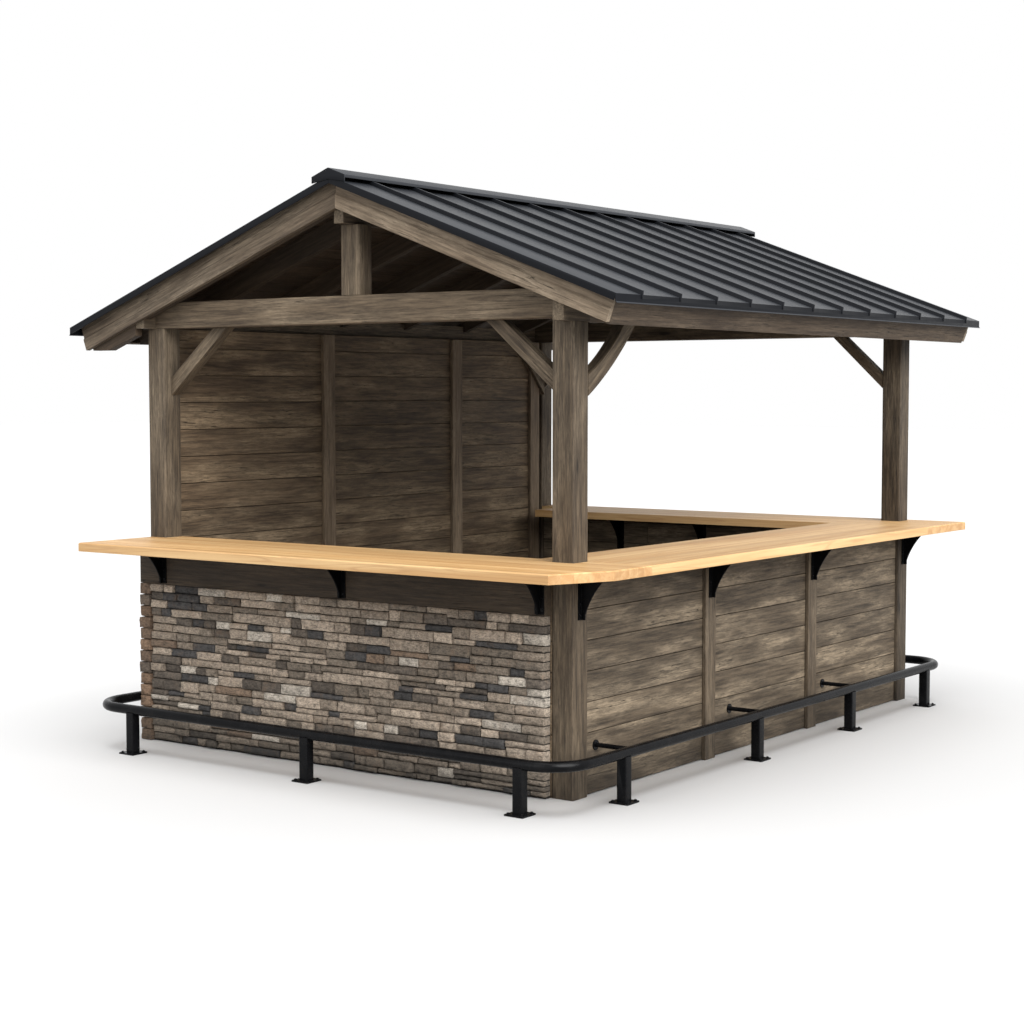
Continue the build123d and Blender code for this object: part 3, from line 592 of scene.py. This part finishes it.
def roof_steel(name, dark, light, sheen):
    """Dark factory painted steel, rolled along the slope, with a dull sheen."""
    f = Finish(name)
    place = f.place()
    rolled = f.noise(f.stretched(place, (2.2, 240.0, 2.2)), detail=4.0, roughness=0.7)
    wash = f.noise(f.stretched(place, (0.9, 9.0, 0.9)), detail=4.0, roughness=0.6)
    peel = f.noise(place, scale=900.0, detail=1.0)
    waves = f.noise(f.stretched(place, (1.2, 5.2, 1.2)), detail=1.0)
    colour = f.mix(dark, light, rolled * 0.55 + wash * 0.45)
    rough = 0.46 + (rolled - 0.5) * 0.3 + (wash - 0.5) * 0.2
    normal = f.relief(peel * 0.4 + rolled * 0.6, 0.00012, over=f.relief(waves, 0.005))
    return f.close(colour, rough, normal, specular=sheen)


def black_paint(name, sheen=0.09, dull=0.0, depth=1.0):
    """Thick black paint on steel, slightly uneven and dusty."""
    f = Finish(name)
    place = f.place()
    uneven = f.noise(place, scale=70.0, detail=3.0)
    peel = f.noise(place, scale=800.0, detail=2.0)
    dust = f.noise(place, scale=11.0, detail=5.0, roughness=0.7)
    tint = tuple(depth * channel for channel in (0.0018, 0.0019, 0.0023))
    worn = tuple(depth * channel for channel in (0.0042, 0.0042, 0.0046))
    colour = f.mix(tint, worn, dust.between(0.35, 0.75))
    rough = 0.2 + dull + dust * 0.12 + (uneven - 0.5) * 0.08
    return f.close(colour, rough, f.relief(uneven * 0.6 + peel * 0.4, 0.0003), specular=sheen)


FRAME_TIMBER = weathered_timber(
    "frame_timber",
    deep=(0.024, 0.0162, 0.0100),
    body=(0.077, 0.0568, 0.0362),
    pale=(0.150, 0.117, 0.080),
    contrast=1.6,
)
BARGE_TIMBER = weathered_timber(
    "barge_timber",
    deep=(0.044, 0.0302, 0.0192),
    body=(0.116, 0.0872, 0.0594),
    pale=(0.215, 0.172, 0.124),
    contrast=1.1,
)
FASCIA_TIMBER = weathered_timber(
    "fascia_timber",
    deep=(0.020, 0.0125, 0.0074),
    body=(0.054, 0.0375, 0.0235),
    pale=(0.098, 0.073, 0.050),
    contrast=1.1,
)
CLADDING = weathered_timber(
    "cladding",
    deep=(0.021, 0.0148, 0.0091),
    body=(0.066, 0.0490, 0.0317),
    pale=(0.190, 0.148, 0.101),
    worn=0.9,
    contrast=1.4,
)
# Painted shade: the trim board is darkened to stand in for the counter's shadow over it
SHADED_TRIM_TIMBER = weathered_timber(
    "trim_timber_painted_shade",
    deep=(0.014, 0.0092, 0.0052),
    body=(0.036, 0.0245, 0.0148),
    pale=(0.062, 0.045, 0.029),
    worn=0.5,
)
# Painted light: the boards inside the walls are made lighter, to stand in for stronger light inside
PAINTED_LIGHT_WALL_INSIDE = weathered_timber(
    "wall_inside",
    deep=(0.028, 0.0178, 0.0098),
    body=(0.090, 0.0606, 0.0352),
    pale=(0.195, 0.143, 0.089),
    worn=0.85,
    contrast=1.4,
)
# Painted light: the inside battens are made lighter than the outside ones, to stand in for stronger
# light inside
INSIDE_BATTEN = weathered_timber(
    "inside_batten",
    deep=(0.046, 0.0300, 0.0178),
    body=(0.122, 0.0875, 0.0560),
    pale=(0.210, 0.160, 0.108),
    contrast=1.0,
)
# Painted shade: the rafters and roof boards are darkened to stand in for the shade under the roof
SHADED_ROOF_BOARDS = weathered_timber(
    "roof_boards",
    deep=(0.014, 0.0092, 0.0054),
    body=(0.036, 0.0242, 0.0148),
    pale=(0.070, 0.0484, 0.0306),
    worn=0.5,
)
COUNTER = glued_counter("counter_staves")
STONE = split_stone("split_stone")
MORTAR = mortar("mortar")
ROOF_STEEL = roof_steel(
    "roof_steel", dark=(0.0078, 0.0090, 0.0115), light=(0.0216, 0.0238, 0.0280), sheen=0.27
)
# A darker, duller copy of the roof steel: painted shade for the steep faces of seams and folds and
# the cap's end
PAINTED_SHADE_STEEL = roof_steel(
    "painted_shade_steel", dark=(0.0028, 0.0032, 0.0042), light=(0.0070, 0.0077, 0.0096), sheen=0.08
)
BLACK_PAINT = black_paint("black_paint")
DULL_PAINT = black_paint("dull_black_paint", sheen=0.05, dull=0.25, depth=0.6)

# Timbers that stand out lighter or darker than their neighbours; the rear right post's darkening is
# painted shade
TONES_AND_PAINTED_SHADE = {
    "tie_beam_front": 2.1,
    "barge_front_left": -1.4,
    "barge_front_right": 2.3,
    "post_front_left": -0.3,
    "post_front_right": -0.4,
    "post_back_right": -2.4,
    "king_post_front": 0.6,
}


def make_timbers():
    """Square timbers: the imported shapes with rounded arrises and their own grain."""
    finishes = {
        "post_": (FRAME_TIMBER, "timber_frame"),
        "tie_beam": (FRAME_TIMBER, "timber_frame"),
        "eave_beam": (FRAME_TIMBER, "timber_frame"),
        "ridge_beam": (FRAME_TIMBER, "timber_frame"),
        "king_post": (FRAME_TIMBER, "timber_frame"),
        "braces": (FRAME_TIMBER, "timber_frame"),
        "rafters": (SHADED_ROOF_BOARDS, "timber_frame"),
        "gable_rafters": (SHADED_ROOF_BOARDS, "timber_frame"),
        "barge": (BARGE_TIMBER, "barge_timber"),
        "fascia": (FASCIA_TIMBER, "barge_timber"),
        "front_trim_board": (SHADED_TRIM_TIMBER, "cladding"),
    }
    for node in sorted(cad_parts):
        for start, (material, slot) in finishes.items():
            if node.startswith(start):
                make_timber(node, material)
                break


def make_timber(node, material):
    piece = shape_of(node, node + "_timber")
    ease(piece, TIMBER_ARRIS)
    solids = [lay_grain(solid, tone=TONES_AND_PAINTED_SHADE.get(node)) for solid in split_solids(piece)]
    piece = join(solids, node + "_timber")
    smooth(piece, 20)
    finish_piece(piece, material, [node])


def make_boarded(node, direction, width, arris, material, along):
    """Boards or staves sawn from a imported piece, each with its own grain."""
    piece = shape_of(node, node + "_boards")
    low = min(Vector(direction) @ vertex.co for vertex in piece.data.vertices)
    boards = saw(piece, direction, low, width, 0.0)
    for board in boards:
        ease(board, arris, 1)
        lay_grain(board, along)
    piece = join(boards, node + "_boards")
    smooth(piece, 20)
    finish_piece(piece, material, [node])


def slope_direction(node):
    """Direction down the slope of a layer of roof boards, worked out from its box and thickness."""
    low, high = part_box(node)
    run, drop = high.x - low.x, high.z - low.z
    angle = math.atan2(drop, run)
    for _ in range(4):
        angle = math.atan2(drop - ROOF_BOARD_THICK * math.cos(angle), run)
    side = 1 if node.endswith("right") else -1
    return Vector((side * math.cos(angle), 0, -math.sin(angle)))


def make_roof_boards():
    """Boards along the ridge on both slopes."""
    for node in ("roof_deck_left", "roof_deck_right"):
        down = slope_direction(node)
        make_boarded(node, down, ROOF_BOARD, ROOF_BOARD_ARRIS, SHADED_ROOF_BOARDS, Y)


def make_counters():
    """Glued staves along each counter's length."""
    for node, direction, along in (
        ("counter_front", Y, X),
        ("counter_right", X, Y),
        ("counter_back", Y, X),
    ):
        make_boarded(node, direction, STAVE, STAVE_ARRIS, COUNTER, along)


def clad_wall(node, low, high, run, breaks, pitch, joint):
    """Boards on both faces of a wall that runs along X or Y, over a darker core."""
    across = X if run is Y else Y
    index = 0 if run is X else 1
    edges = [low[index], *breaks, high[index]]
    boards = []
    for start, stop in zip(edges, edges[1:]):
        bay_low, bay_high = Vector(low), Vector(high)
        bay_low[index], bay_high[index] = start + BOARD_END_GAP, stop - BOARD_END_GAP
        bay = block(node + "_bay", bay_low, bay_high)
        lift = draw.uniform(-BOARD_LIFT, BOARD_LIFT)
        for board in saw(bay, Z, joint + lift, pitch, BOARD_GAP):
            ease(board, BOARD_ARRIS)
            lay_grain(board, run)
            boards.append(board)
    setback = across * WALL_CORE_SETBACK
    core = block(node + "_core", low + setback, high - setback)
    boards.append(lay_grain(core, run, -1.0))
    piece = join(boards, node + "_boards")
    smooth(piece, 20)
    return piece


def make_battens(name, material, low, high, run, places):
    """Upright battens between two corners, one centred on each place along the wall."""
    index = 0 if run is X else 1
    battens = []
    for place in places:
        start, stop = Vector(low), Vector(high)
        start[index], stop[index] = place - BATTEN / 2, place + BATTEN / 2
        upright = block("batten", start, stop)
        ease(upright, BATTEN_ARRIS)
        battens.append(lay_grain(upright, Z))
    piece = join(battens, name)
    smooth(piece, 20)
    finish_piece(piece, material)


def thirds(low, high):
    return [low + (high - low) / 3, low + (high - low) * 2 / 3]


def make_left_wall():
    """The full height wall, with battens on both faces and boards that meet behind one of them."""
    low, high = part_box("left_wall")
    recess = X * BATTEN_RECESS
    middle = (low.y + high.y) / 2
    meeting = [middle + LEFT_WALL_BREAK]
    boards = clad_wall(
        "left_wall", low + recess, high - recess, Y, meeting, LEFT_WALL_PITCH, LEFT_WALL_JOINT
    )
    finish_piece(boards, PAINTED_LIGHT_WALL_INSIDE, ["left_wall"])
    outer_high = Vector((low.x + BATTEN_RECESS, high.y, high.z))
    inner_low = Vector((high.x - BATTEN_RECESS, low.y, low.z))
    outside, inside = thirds(low.y, high.y), [middle + place for place in INSIDE_BATTENS]
    # The inside boards and battens take the lighter finishes, which are painted light
    make_battens("left_wall_battens", FRAME_TIMBER, low, outer_high, Y, outside)
    make_battens("left_wall_inside_battens", INSIDE_BATTEN, inner_low, high, Y, inside)


def make_low_walls():
    """The three walls under the counters; the front one is hidden by the stones outside."""
    for node, run, outward in (("right_wall", Y, X), ("back_wall", X, Y)):
        low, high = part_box(node)
        index, outer = (0, 1) if run is X else (1, 0)
        places = thirds(low[index], high[index])
        inner_high = high - outward * BATTEN_RECESS
        boards = clad_wall(node, low, inner_high, run, places, LOW_WALL_PITCH, LOW_WALL_JOINT)
        finish_piece(boards, CLADDING, [node])
        outer_low = Vector(low)
        outer_low[outer] = inner_high[outer]
        make_battens(node + "_battens", FRAME_TIMBER, outer_low, high, run, places)

    low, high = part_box("front_wall")
    places = thirds(low.x, high.x)
    boards = clad_wall("front_wall", low, high, X, places, LOW_WALL_PITCH, LOW_WALL_JOINT)
    finish_piece(boards, PAINTED_LIGHT_WALL_INSIDE, ["front_wall"])


# Stone colours, each with how often it comes up
STONE_COLOURS = (
    ((0.235, 0.192, 0.150), 26),
    ((0.175, 0.142, 0.110), 20),
    ((0.122, 0.100, 0.078), 20),
    ((0.075, 0.062, 0.050), 13),
    ((0.042, 0.040, 0.039), 12),
    ((0.320, 0.285, 0.240), 6),
    ((0.115, 0.082, 0.058), 3),
)
QUOIN_COLOURS = (
    ((0.120, 0.078, 0.051), 5),
    ((0.098, 0.067, 0.047), 3),
    ((0.078, 0.061, 0.048), 2),
)
# Ways in which a band is shared out between courses
COURSE_SPLITS = (
    (0.5, 0.5),
    (0.46, 0.54),
    (0.54, 0.46),
    (0.5, 0.5),
    (0.5, 0.5),
    (0.34, 0.66),
    (0.63, 0.37),
    (0.33, 0.33, 0.34),
)


def stone_patterns():
    """A few split blocks, one metre each way, that the facing's stones are copied from."""
    patterns = []
    for _ in range(STONE_PATTERNS):
        piece = block("stone", (-0.5, -0.5, -0.5), (0.5, 0.5, 0.5))
        for cut in range(1, STONE_SLICES):
            edit(piece)
            place = -0.5 + (cut + draw.uniform(-SLICE_DRIFT, SLICE_DRIFT)) / STONE_SLICES
            bpy.ops.mesh.bisect(plane_co=(place, 0, 0), plane_no=(1, 0, 0))
        for ledge in STONE_LEDGES:
            edit(piece)
            bpy.ops.mesh.bisect(plane_co=(0, 0, ledge), plane_no=(0, 0, 1))
        leave_edit()
        patterns.append(piece)
    return patterns


def split_face(stone, low, high):
    """Roughen the front of one stone and let it fall back towards its edges."""
    mesh = stone.data
    front = min(vertex.co.y for vertex in mesh.vertices)
    lean = draw.uniform(-STONE_LEAN, STONE_LEAN)
    for vertex in mesh.vertices:
        if vertex.co.y > front + A_HAIR:
            continue
        inside = from_edges(vertex.co.x, low.x, high.x, STONE_EDGE_FALL[0])
        level = from_edges(vertex.co.z, low.z, high.z, STONE_EDGE_FALL[1])
        rough = draw.uniform(-STONE_ROUGHNESS, STONE_ROUGHNESS)
        vertex.co.y += rough + (1 - inside * level) * draw.uniform(*STONE_EDGE_DROPS)
        vertex.co.y += lean * (vertex.co.z - low.z) / max(high.z - low.z, 0.01)
        vertex.co.x += draw.uniform(-STONE_OUTLINE_DRIFT[0], STONE_OUTLINE_DRIFT[0])
        vertex.co.z += draw.uniform(-STONE_OUTLINE_DRIFT[1], STONE_OUTLINE_DRIFT[1])


def from_edges(place, low, high, fall):
    """0 on the nearer edge, 1 once further from it than the fall."""
    return min(1.0, min(abs(place - low), abs(place - high)) / fall)


def set_stone(patterns, left, right, bottom, top, front, back, colours):
    """Copy a pattern into its place in the wall."""
    joint = STONE_JOINT / 2
    low = Vector((left + joint, front, bottom + joint))
    high = Vector((right - joint, back, top - joint))
    pattern = draw.choice(patterns)
    turn = Matrix.Rotation(math.pi, 4, "Y") if draw.random() < 0.5 else Matrix.Identity(4)
    place = Matrix.Translation((low + high) / 2) @ Matrix.Diagonal((*(high - low), 1.0)) @ turn
    stone = copy_piece(pattern, "stone", place)
    split_face(stone, low, high)
    kinds, weights = zip(*colours)
    colour = Vector(draw.choices(kinds, weights)[0]) * draw.uniform(*STONE_SHADES)
    paint = stone.data.attributes.new("stone", "FLOAT_COLOR", "CORNER")
    paint.data.foreach_set("color", [*colour, 1.0] * len(stone.data.loops))
    return stone


def course_stones(patterns, low, high):
    """Stones in bands whose courses change height from one stretch to the next."""
    stones = []
    band = (high.z - low.z) / STONE_BANDS
    for number in range(STONE_BANDS):
        bottom = low.z + number * band + (GROUND_GAP if number == 0 else 0.0)
        rise = low.z + (number + 1) * band - bottom
        left = low.x + QUOIN_WIDTH
        while left < high.x - A_HAIR:
            stretch = draw.uniform(*STRETCH_LENGTHS)
            if high.x - left - stretch < SHORTEST_STRETCH:
                stretch = high.x - left
            level = bottom
            for share in draw.choice(COURSE_SPLITS):
                top = level + share * rise
                stones += course(patterns, left, left + stretch, level, top, low.y, high.y)
                level = top
            left += stretch
    return stones


def course(patterns, left, right, bottom, top, front, back):
    """One row of stones of uneven length, each set back its own way."""
    stones = []
    start = left
    while start < right - A_HAIR:
        length = draw.triangular(*STONE_LENGTHS)
        if right - start - length < SHORTEST_STONE:
            length = right - start
        stop, out = start + length, front + draw.uniform(*STONE_SETBACKS)
        stones.append(
            set_stone(patterns, start, stop, bottom, top, out, back - STONE_BACK_GAP, STONE_COLOURS)
        )
        start = stop
    return stones


def quoin_stones(patterns, low, high):
    """A column of evenly high stones at the left end."""
    count = round((high.z - low.z) / QUOIN_HEIGHT)
    step = (high.z - low.z) / count
    back = high.y - STONE_BACK_GAP
    stones = []
    for number in range(count):
        left = low.x + draw.uniform(0.0, QUOIN_LEFT_SETBACK)
        right = low.x + QUOIN_WIDTH + draw.uniform(-QUOIN_RIGHT_DRIFT, QUOIN_RIGHT_DRIFT)
        bottom = low.z + number * step
        out = low.y + draw.uniform(0.0, QUOIN_SETBACK)
        stones.append(
            set_stone(patterns, left, right, bottom, bottom + step, out, back, QUOIN_COLOURS)
        )
    return stones


def make_stone_facing():
    """Split stones and quoins, bedded in dark mortar."""
    low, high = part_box("stone_facing")
    patterns = stone_patterns()
    stones = course_stones(patterns, low, high) + quoin_stones(patterns, low, high)
    for pattern in patterns:
        bpy.data.objects.remove(pattern)
    piece = join(stones, "ledge_stones")
    apply(
        piece,
        "BEVEL",
        width=STONE_ARRIS,
        segments=1,
        limit_method="ANGLE",
        angle_limit=math.radians(STONE_SHARP_ANGLE),
    )
    lumps = bpy.data.textures.new("stone_lumps", "CLOUDS")
    lumps.noise_scale = STONE_LUMP_SIZE
    lumps.noise_depth = 3
    apply(
        piece,
        "DISPLACE",
        texture=lumps,
        strength=STONE_LUMPS,
        mid_level=0.5,
        texture_coords="LOCAL",
    )
    smooth(piece, 40)
    finish_piece(piece, STONE, ["stone_facing"])
    left, right, top = MORTAR_INSETS
    bed_low = (low.x + left, high.y - MORTAR_DEPTH, low.z)
    bed = block("stone_bed", bed_low, (high.x - right, high.y, high.z - top))
    ease(bed, MORTAR_ARRIS)
    finish_piece(bed, MORTAR)


def make_roof_metal():
    """Roofing and ridge cap, with the steep faces of the seams and folds and the cap's end in a
    darker copy of the steel as painted shade.
    """
    for node in ("roof_sheet_left", "roof_sheet_right", "ridge_cap"):
        piece = shape_of(node, node + "_steel")
        ease(piece, ROOF_ARRIS)
        smooth(piece, 25)
        finish_piece(piece, ROOF_STEEL, [node])
        piece.data.materials.append(PAINTED_SHADE_STEEL)
        for face in piece.data.polygons:
            # Steep faces, and on the cap only its front end, take the painted shade copy of the
            # steel
            folded = face.normal.z < FOLD_STEEPNESS
            if folded and (node != "ridge_cap" or face.normal.y < -0.9):
                face.material_index = 1


def make_steelwork():
    """Brackets, rail legs and wall stays, painted black."""
    paints = {
        "brackets_front": DULL_PAINT,
        "brackets_right": DULL_PAINT,
        "brackets_back": DULL_PAINT,
        "rail_legs_front": BLACK_PAINT,
        "rail_legs_right": BLACK_PAINT,
        "rail_stays": BLACK_PAINT,
    }
    for node, paint in paints.items():
        piece = shape_of(node, node + "_steel")
        ease(piece, STEEL_ARRIS, 1)
        smooth(piece, 30)
        finish_piece(piece, paint, [node])


def extend(distance):
    """Carry the open end of the tube on in a straight line."""
    bpy.ops.mesh.extrude_region_move(TRANSFORM_OT_translate={"value": distance})


def bend_end(centre):
    """Carry the open end of the tube round a quarter bend."""
    bpy.ops.mesh.spin(
        steps=BEND_STEPS, angle=-math.pi / 2, center=centre, axis=(0, 0, 1), use_auto_merge=False
    )


def make_foot_rail():
    """Bent tube of the foot rail, drawn round its three bends."""
    low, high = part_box("foot_rail")
    radius = (high.z - low.z) / 2
    height = (high.z + low.z) / 2
    left, front = low.x + radius, low.y + radius
    right, back = high.x - radius, high.y - radius
    bend = RAIL_BEND
    left_end = FRAME_LOW.y + RAIL_LEFT_END
    back_end = FRAME_HIGH.x - RAIL_BACK_END
    clear_selection()
    bpy.ops.mesh.primitive_circle_add(
        vertices=RAIL_SIDES,
        radius=radius,
        fill_type="NOTHING",
        location=(left, left_end, height),
        rotation=(math.pi / 2, 0, 0),
    )
    rail = bpy.context.object
    rail.name = "foot_rail_tube"
    bpy.ops.object.transform_apply(location=True, rotation=True, scale=True)
    edit(rail, "EDGE")
    extend((0, front + bend - left_end, 0))
    bend_end((left + bend, front + bend, height))
    extend((right - left - 2 * bend, 0, 0))
    bend_end((right - bend, front + bend, height))
    extend((0, back - front - 2 * bend, 0))
    bend_end((right - bend, back - bend, height))
    extend((back_end - right + bend, 0, 0))
    bpy.ops.mesh.edge_face_add()
    leave_edit()
    close_start(rail, left_end)
    edit(rail, "VERT")
    bpy.ops.mesh.remove_doubles(threshold=SAME_CORNER / 2)
    bpy.ops.mesh.normals_make_consistent(inside=False)
    leave_edit()
    ease(rail, RAIL_END_ARRIS)
    smooth(rail, 30)
    finish_piece(rail, BLACK_PAINT, ["foot_rail"])


def close_start(rail, place):
    """Cap the end that the tube was started from."""
    pick(rail)
    bpy.ops.object.mode_set(mode="EDIT")
    bpy.ops.mesh.select_mode(type="EDGE")
    bpy.ops.mesh.select_all(action="DESELECT")
    leave_edit()
    mesh = rail.data
    for edge in mesh.edges:
        ends = [mesh.vertices[index].co.y for index in edge.vertices]
        edge.select = all(abs(end - place) < NEARLY_THERE for end in ends)
    bpy.ops.object.mode_set(mode="EDIT")
    bpy.ops.mesh.edge_face_add()
    leave_edit()


def make_bolt():
    """Hexagon head on a round washer, standing on its base at the origin."""
    head = cylinder(6, BOLT_RADIUS, BOLT_HEAD, BOLT_HEAD / 2 + BOLT_LIFT)
    ease(head, BOLT_ARRIS, 1)
    washer = cylinder(16, BOLT_RADIUS * 1.5, WASHER_THICK, WASHER_THICK / 2)
    ease(washer, WASHER_ARRIS, 1)
    return join([head, washer], "bolt")


def cylinder(sides, radius, height, level):
    clear_selection()
    bpy.ops.mesh.primitive_cylinder_add(
        vertices=sides, radius=radius, depth=height, location=(0, 0, level)
    )
    bpy.ops.object.transform_apply(location=True, rotation=True, scale=True)
    return bpy.context.object


def make_bolts():
    """Anchor bolts of the foot plates, and bolts through the bracket flats."""
    bolt = make_bolt()
    bolts = []
    for node in ("rail_legs_front", "rail_legs_right"):
        for solid in split_solids(shape_of(node, "leg")):
            bolts += foot_bolts(solid, bolt)
            bpy.data.objects.remove(solid)
    for node, outward in (("brackets_front", -Y), ("brackets_right", X), ("brackets_back", -Y)):
        for solid in split_solids(shape_of(node, "bracket")):
            bolts += bracket_bolts(solid, outward, bolt)
            bpy.data.objects.remove(solid)
    bpy.data.objects.remove(bolt)
    piece = join(bolts, "steel_bolts")
    smooth(piece, 30)
    finish_piece(piece, BLACK_PAINT)


def foot_bolts(solid, bolt):
    """Four bolts in the foot plate of a rail leg."""
    corners = [vertex.co for vertex in solid.data.vertices]
    centre = sum(corners, Vector()) / len(corners)
    copies = []
    for x in FOOT_BOLTS:
        for y in FOOT_BOLTS:
            spot = Vector((centre.x + x, centre.y + y, FOOT_PLATE_TOP))
            turn = Matrix.Rotation(draw.uniform(0, 1), 4, "Z")
            copies.append(copy_piece(bolt, "bolt", Matrix.Translation(spot) @ turn))
    return copies


def bracket_bolts(solid, outward, bolt):
    """Four bolts in the flat that lies on the wall."""
    corners = [vertex.co for vertex in solid.data.vertices]
    low = Vector([min(corner[axis] for corner in corners) for axis in range(3)])
    high = Vector([max(corner[axis] for corner in corners) for axis in range(3)])
    middle = (low + high) / 2
    side = outward.cross(Z)
    face = min(outward @ corner for corner in corners) + BRACKET_FLAT
    turn = outward.to_track_quat("Z", "Y").to_matrix().to_4x4()
    copies = []
    for height in BRACKET_BOLT_HEIGHTS:
        for way in BRACKET_BOLT_SIDES:
            spot = outward * face + side * (side @ middle + way) + Z * (low.z + height)
            copies.append(copy_piece(bolt, "bolt", Matrix.Translation(spot) @ turn))
    return copies


def make_studio():
    """Plain pale floor, white surround and three wide soft lights."""
    clear_selection()
    bpy.ops.mesh.primitive_plane_add(size=FLOOR_SIZE, location=(0, 0, 0))
    floor = bpy.context.object
    floor.name = "studio_floor"
    f = Finish("studio_floor")
    floor.data.materials.append(f.close((0.78, 0.78, 0.78), 1.0, specular=0.0))

    world = bpy.data.worlds.new("studio")
    world.use_nodes = True
    surround = world.node_tree.nodes["Background"].inputs
    surround["Color"].default_value = (1, 1, 1, 1)
    surround["Strength"].default_value = 1.0
    bpy.context.scene.world = world

    # The photograph's floor is nearly white, so the two strong lights leave it out
    beside_floor = bpy.data.collections.new("beside_floor")
    beside_floor.objects.link(floor)
    beside_floor.collection_objects[0].light_linking.link_state = "EXCLUDE"
    add_light("top_light", turn=-60, lift=80, strength=1.5)
    front_light = add_light("front_light", turn=-100, lift=20, strength=0.8)
    right_light = add_light("right_light", turn=-20, lift=33, strength=6.7)
    for light in (front_light, right_light):
        light.light_linking.receiver_collection = beside_floor


def add_light(name, turn, lift, strength):
    """Wide soft light that shines from a compass turn and a height, both in degrees."""
    light = bpy.data.lights.new(name, "SUN")
    light.energy = strength
    light.angle = math.radians(LIGHT_SPREAD)
    holder = bpy.data.objects.new(name, light)
    bpy.context.scene.collection.objects.link(holder)
    turn, lift = math.radians(turn), math.radians(lift)
    flat = math.cos(lift)
    towards = Vector((flat * math.cos(turn), flat * math.sin(turn), math.sin(lift)))
    holder.rotation_euler = towards.to_track_quat("Z", "Y").to_euler()
    return holder


def make_camera():
    """Camera at the photograph's place, measured from the middle of the posts."""
    camera = bpy.data.cameras.new("camera")
    camera.sensor_width = SENSOR
    camera.lens = PHOTO_FOCAL * SENSOR / PHOTO_WIDTH
    holder = bpy.data.objects.new("camera", camera)
    bpy.context.scene.collection.objects.link(holder)
    middle = (FRAME_LOW + FRAME_HIGH) / 2
    holder.location = Vector((middle.x, middle.y, 0)) + EYE_FROM_POSTS
    holder.rotation_euler = (math.pi / 2 - LOOK_DOWN, 0, LOOK_LEFT)
    bpy.context.scene.camera = holder
    bpy.context.scene.view_settings.view_transform = "Standard"


make_camera()
make_studio()
make_timbers()
make_roof_boards()
make_left_wall()
make_low_walls()
make_stone_facing()
make_counters()
make_roof_metal()
make_steelwork()
make_foot_rail()
make_bolts()
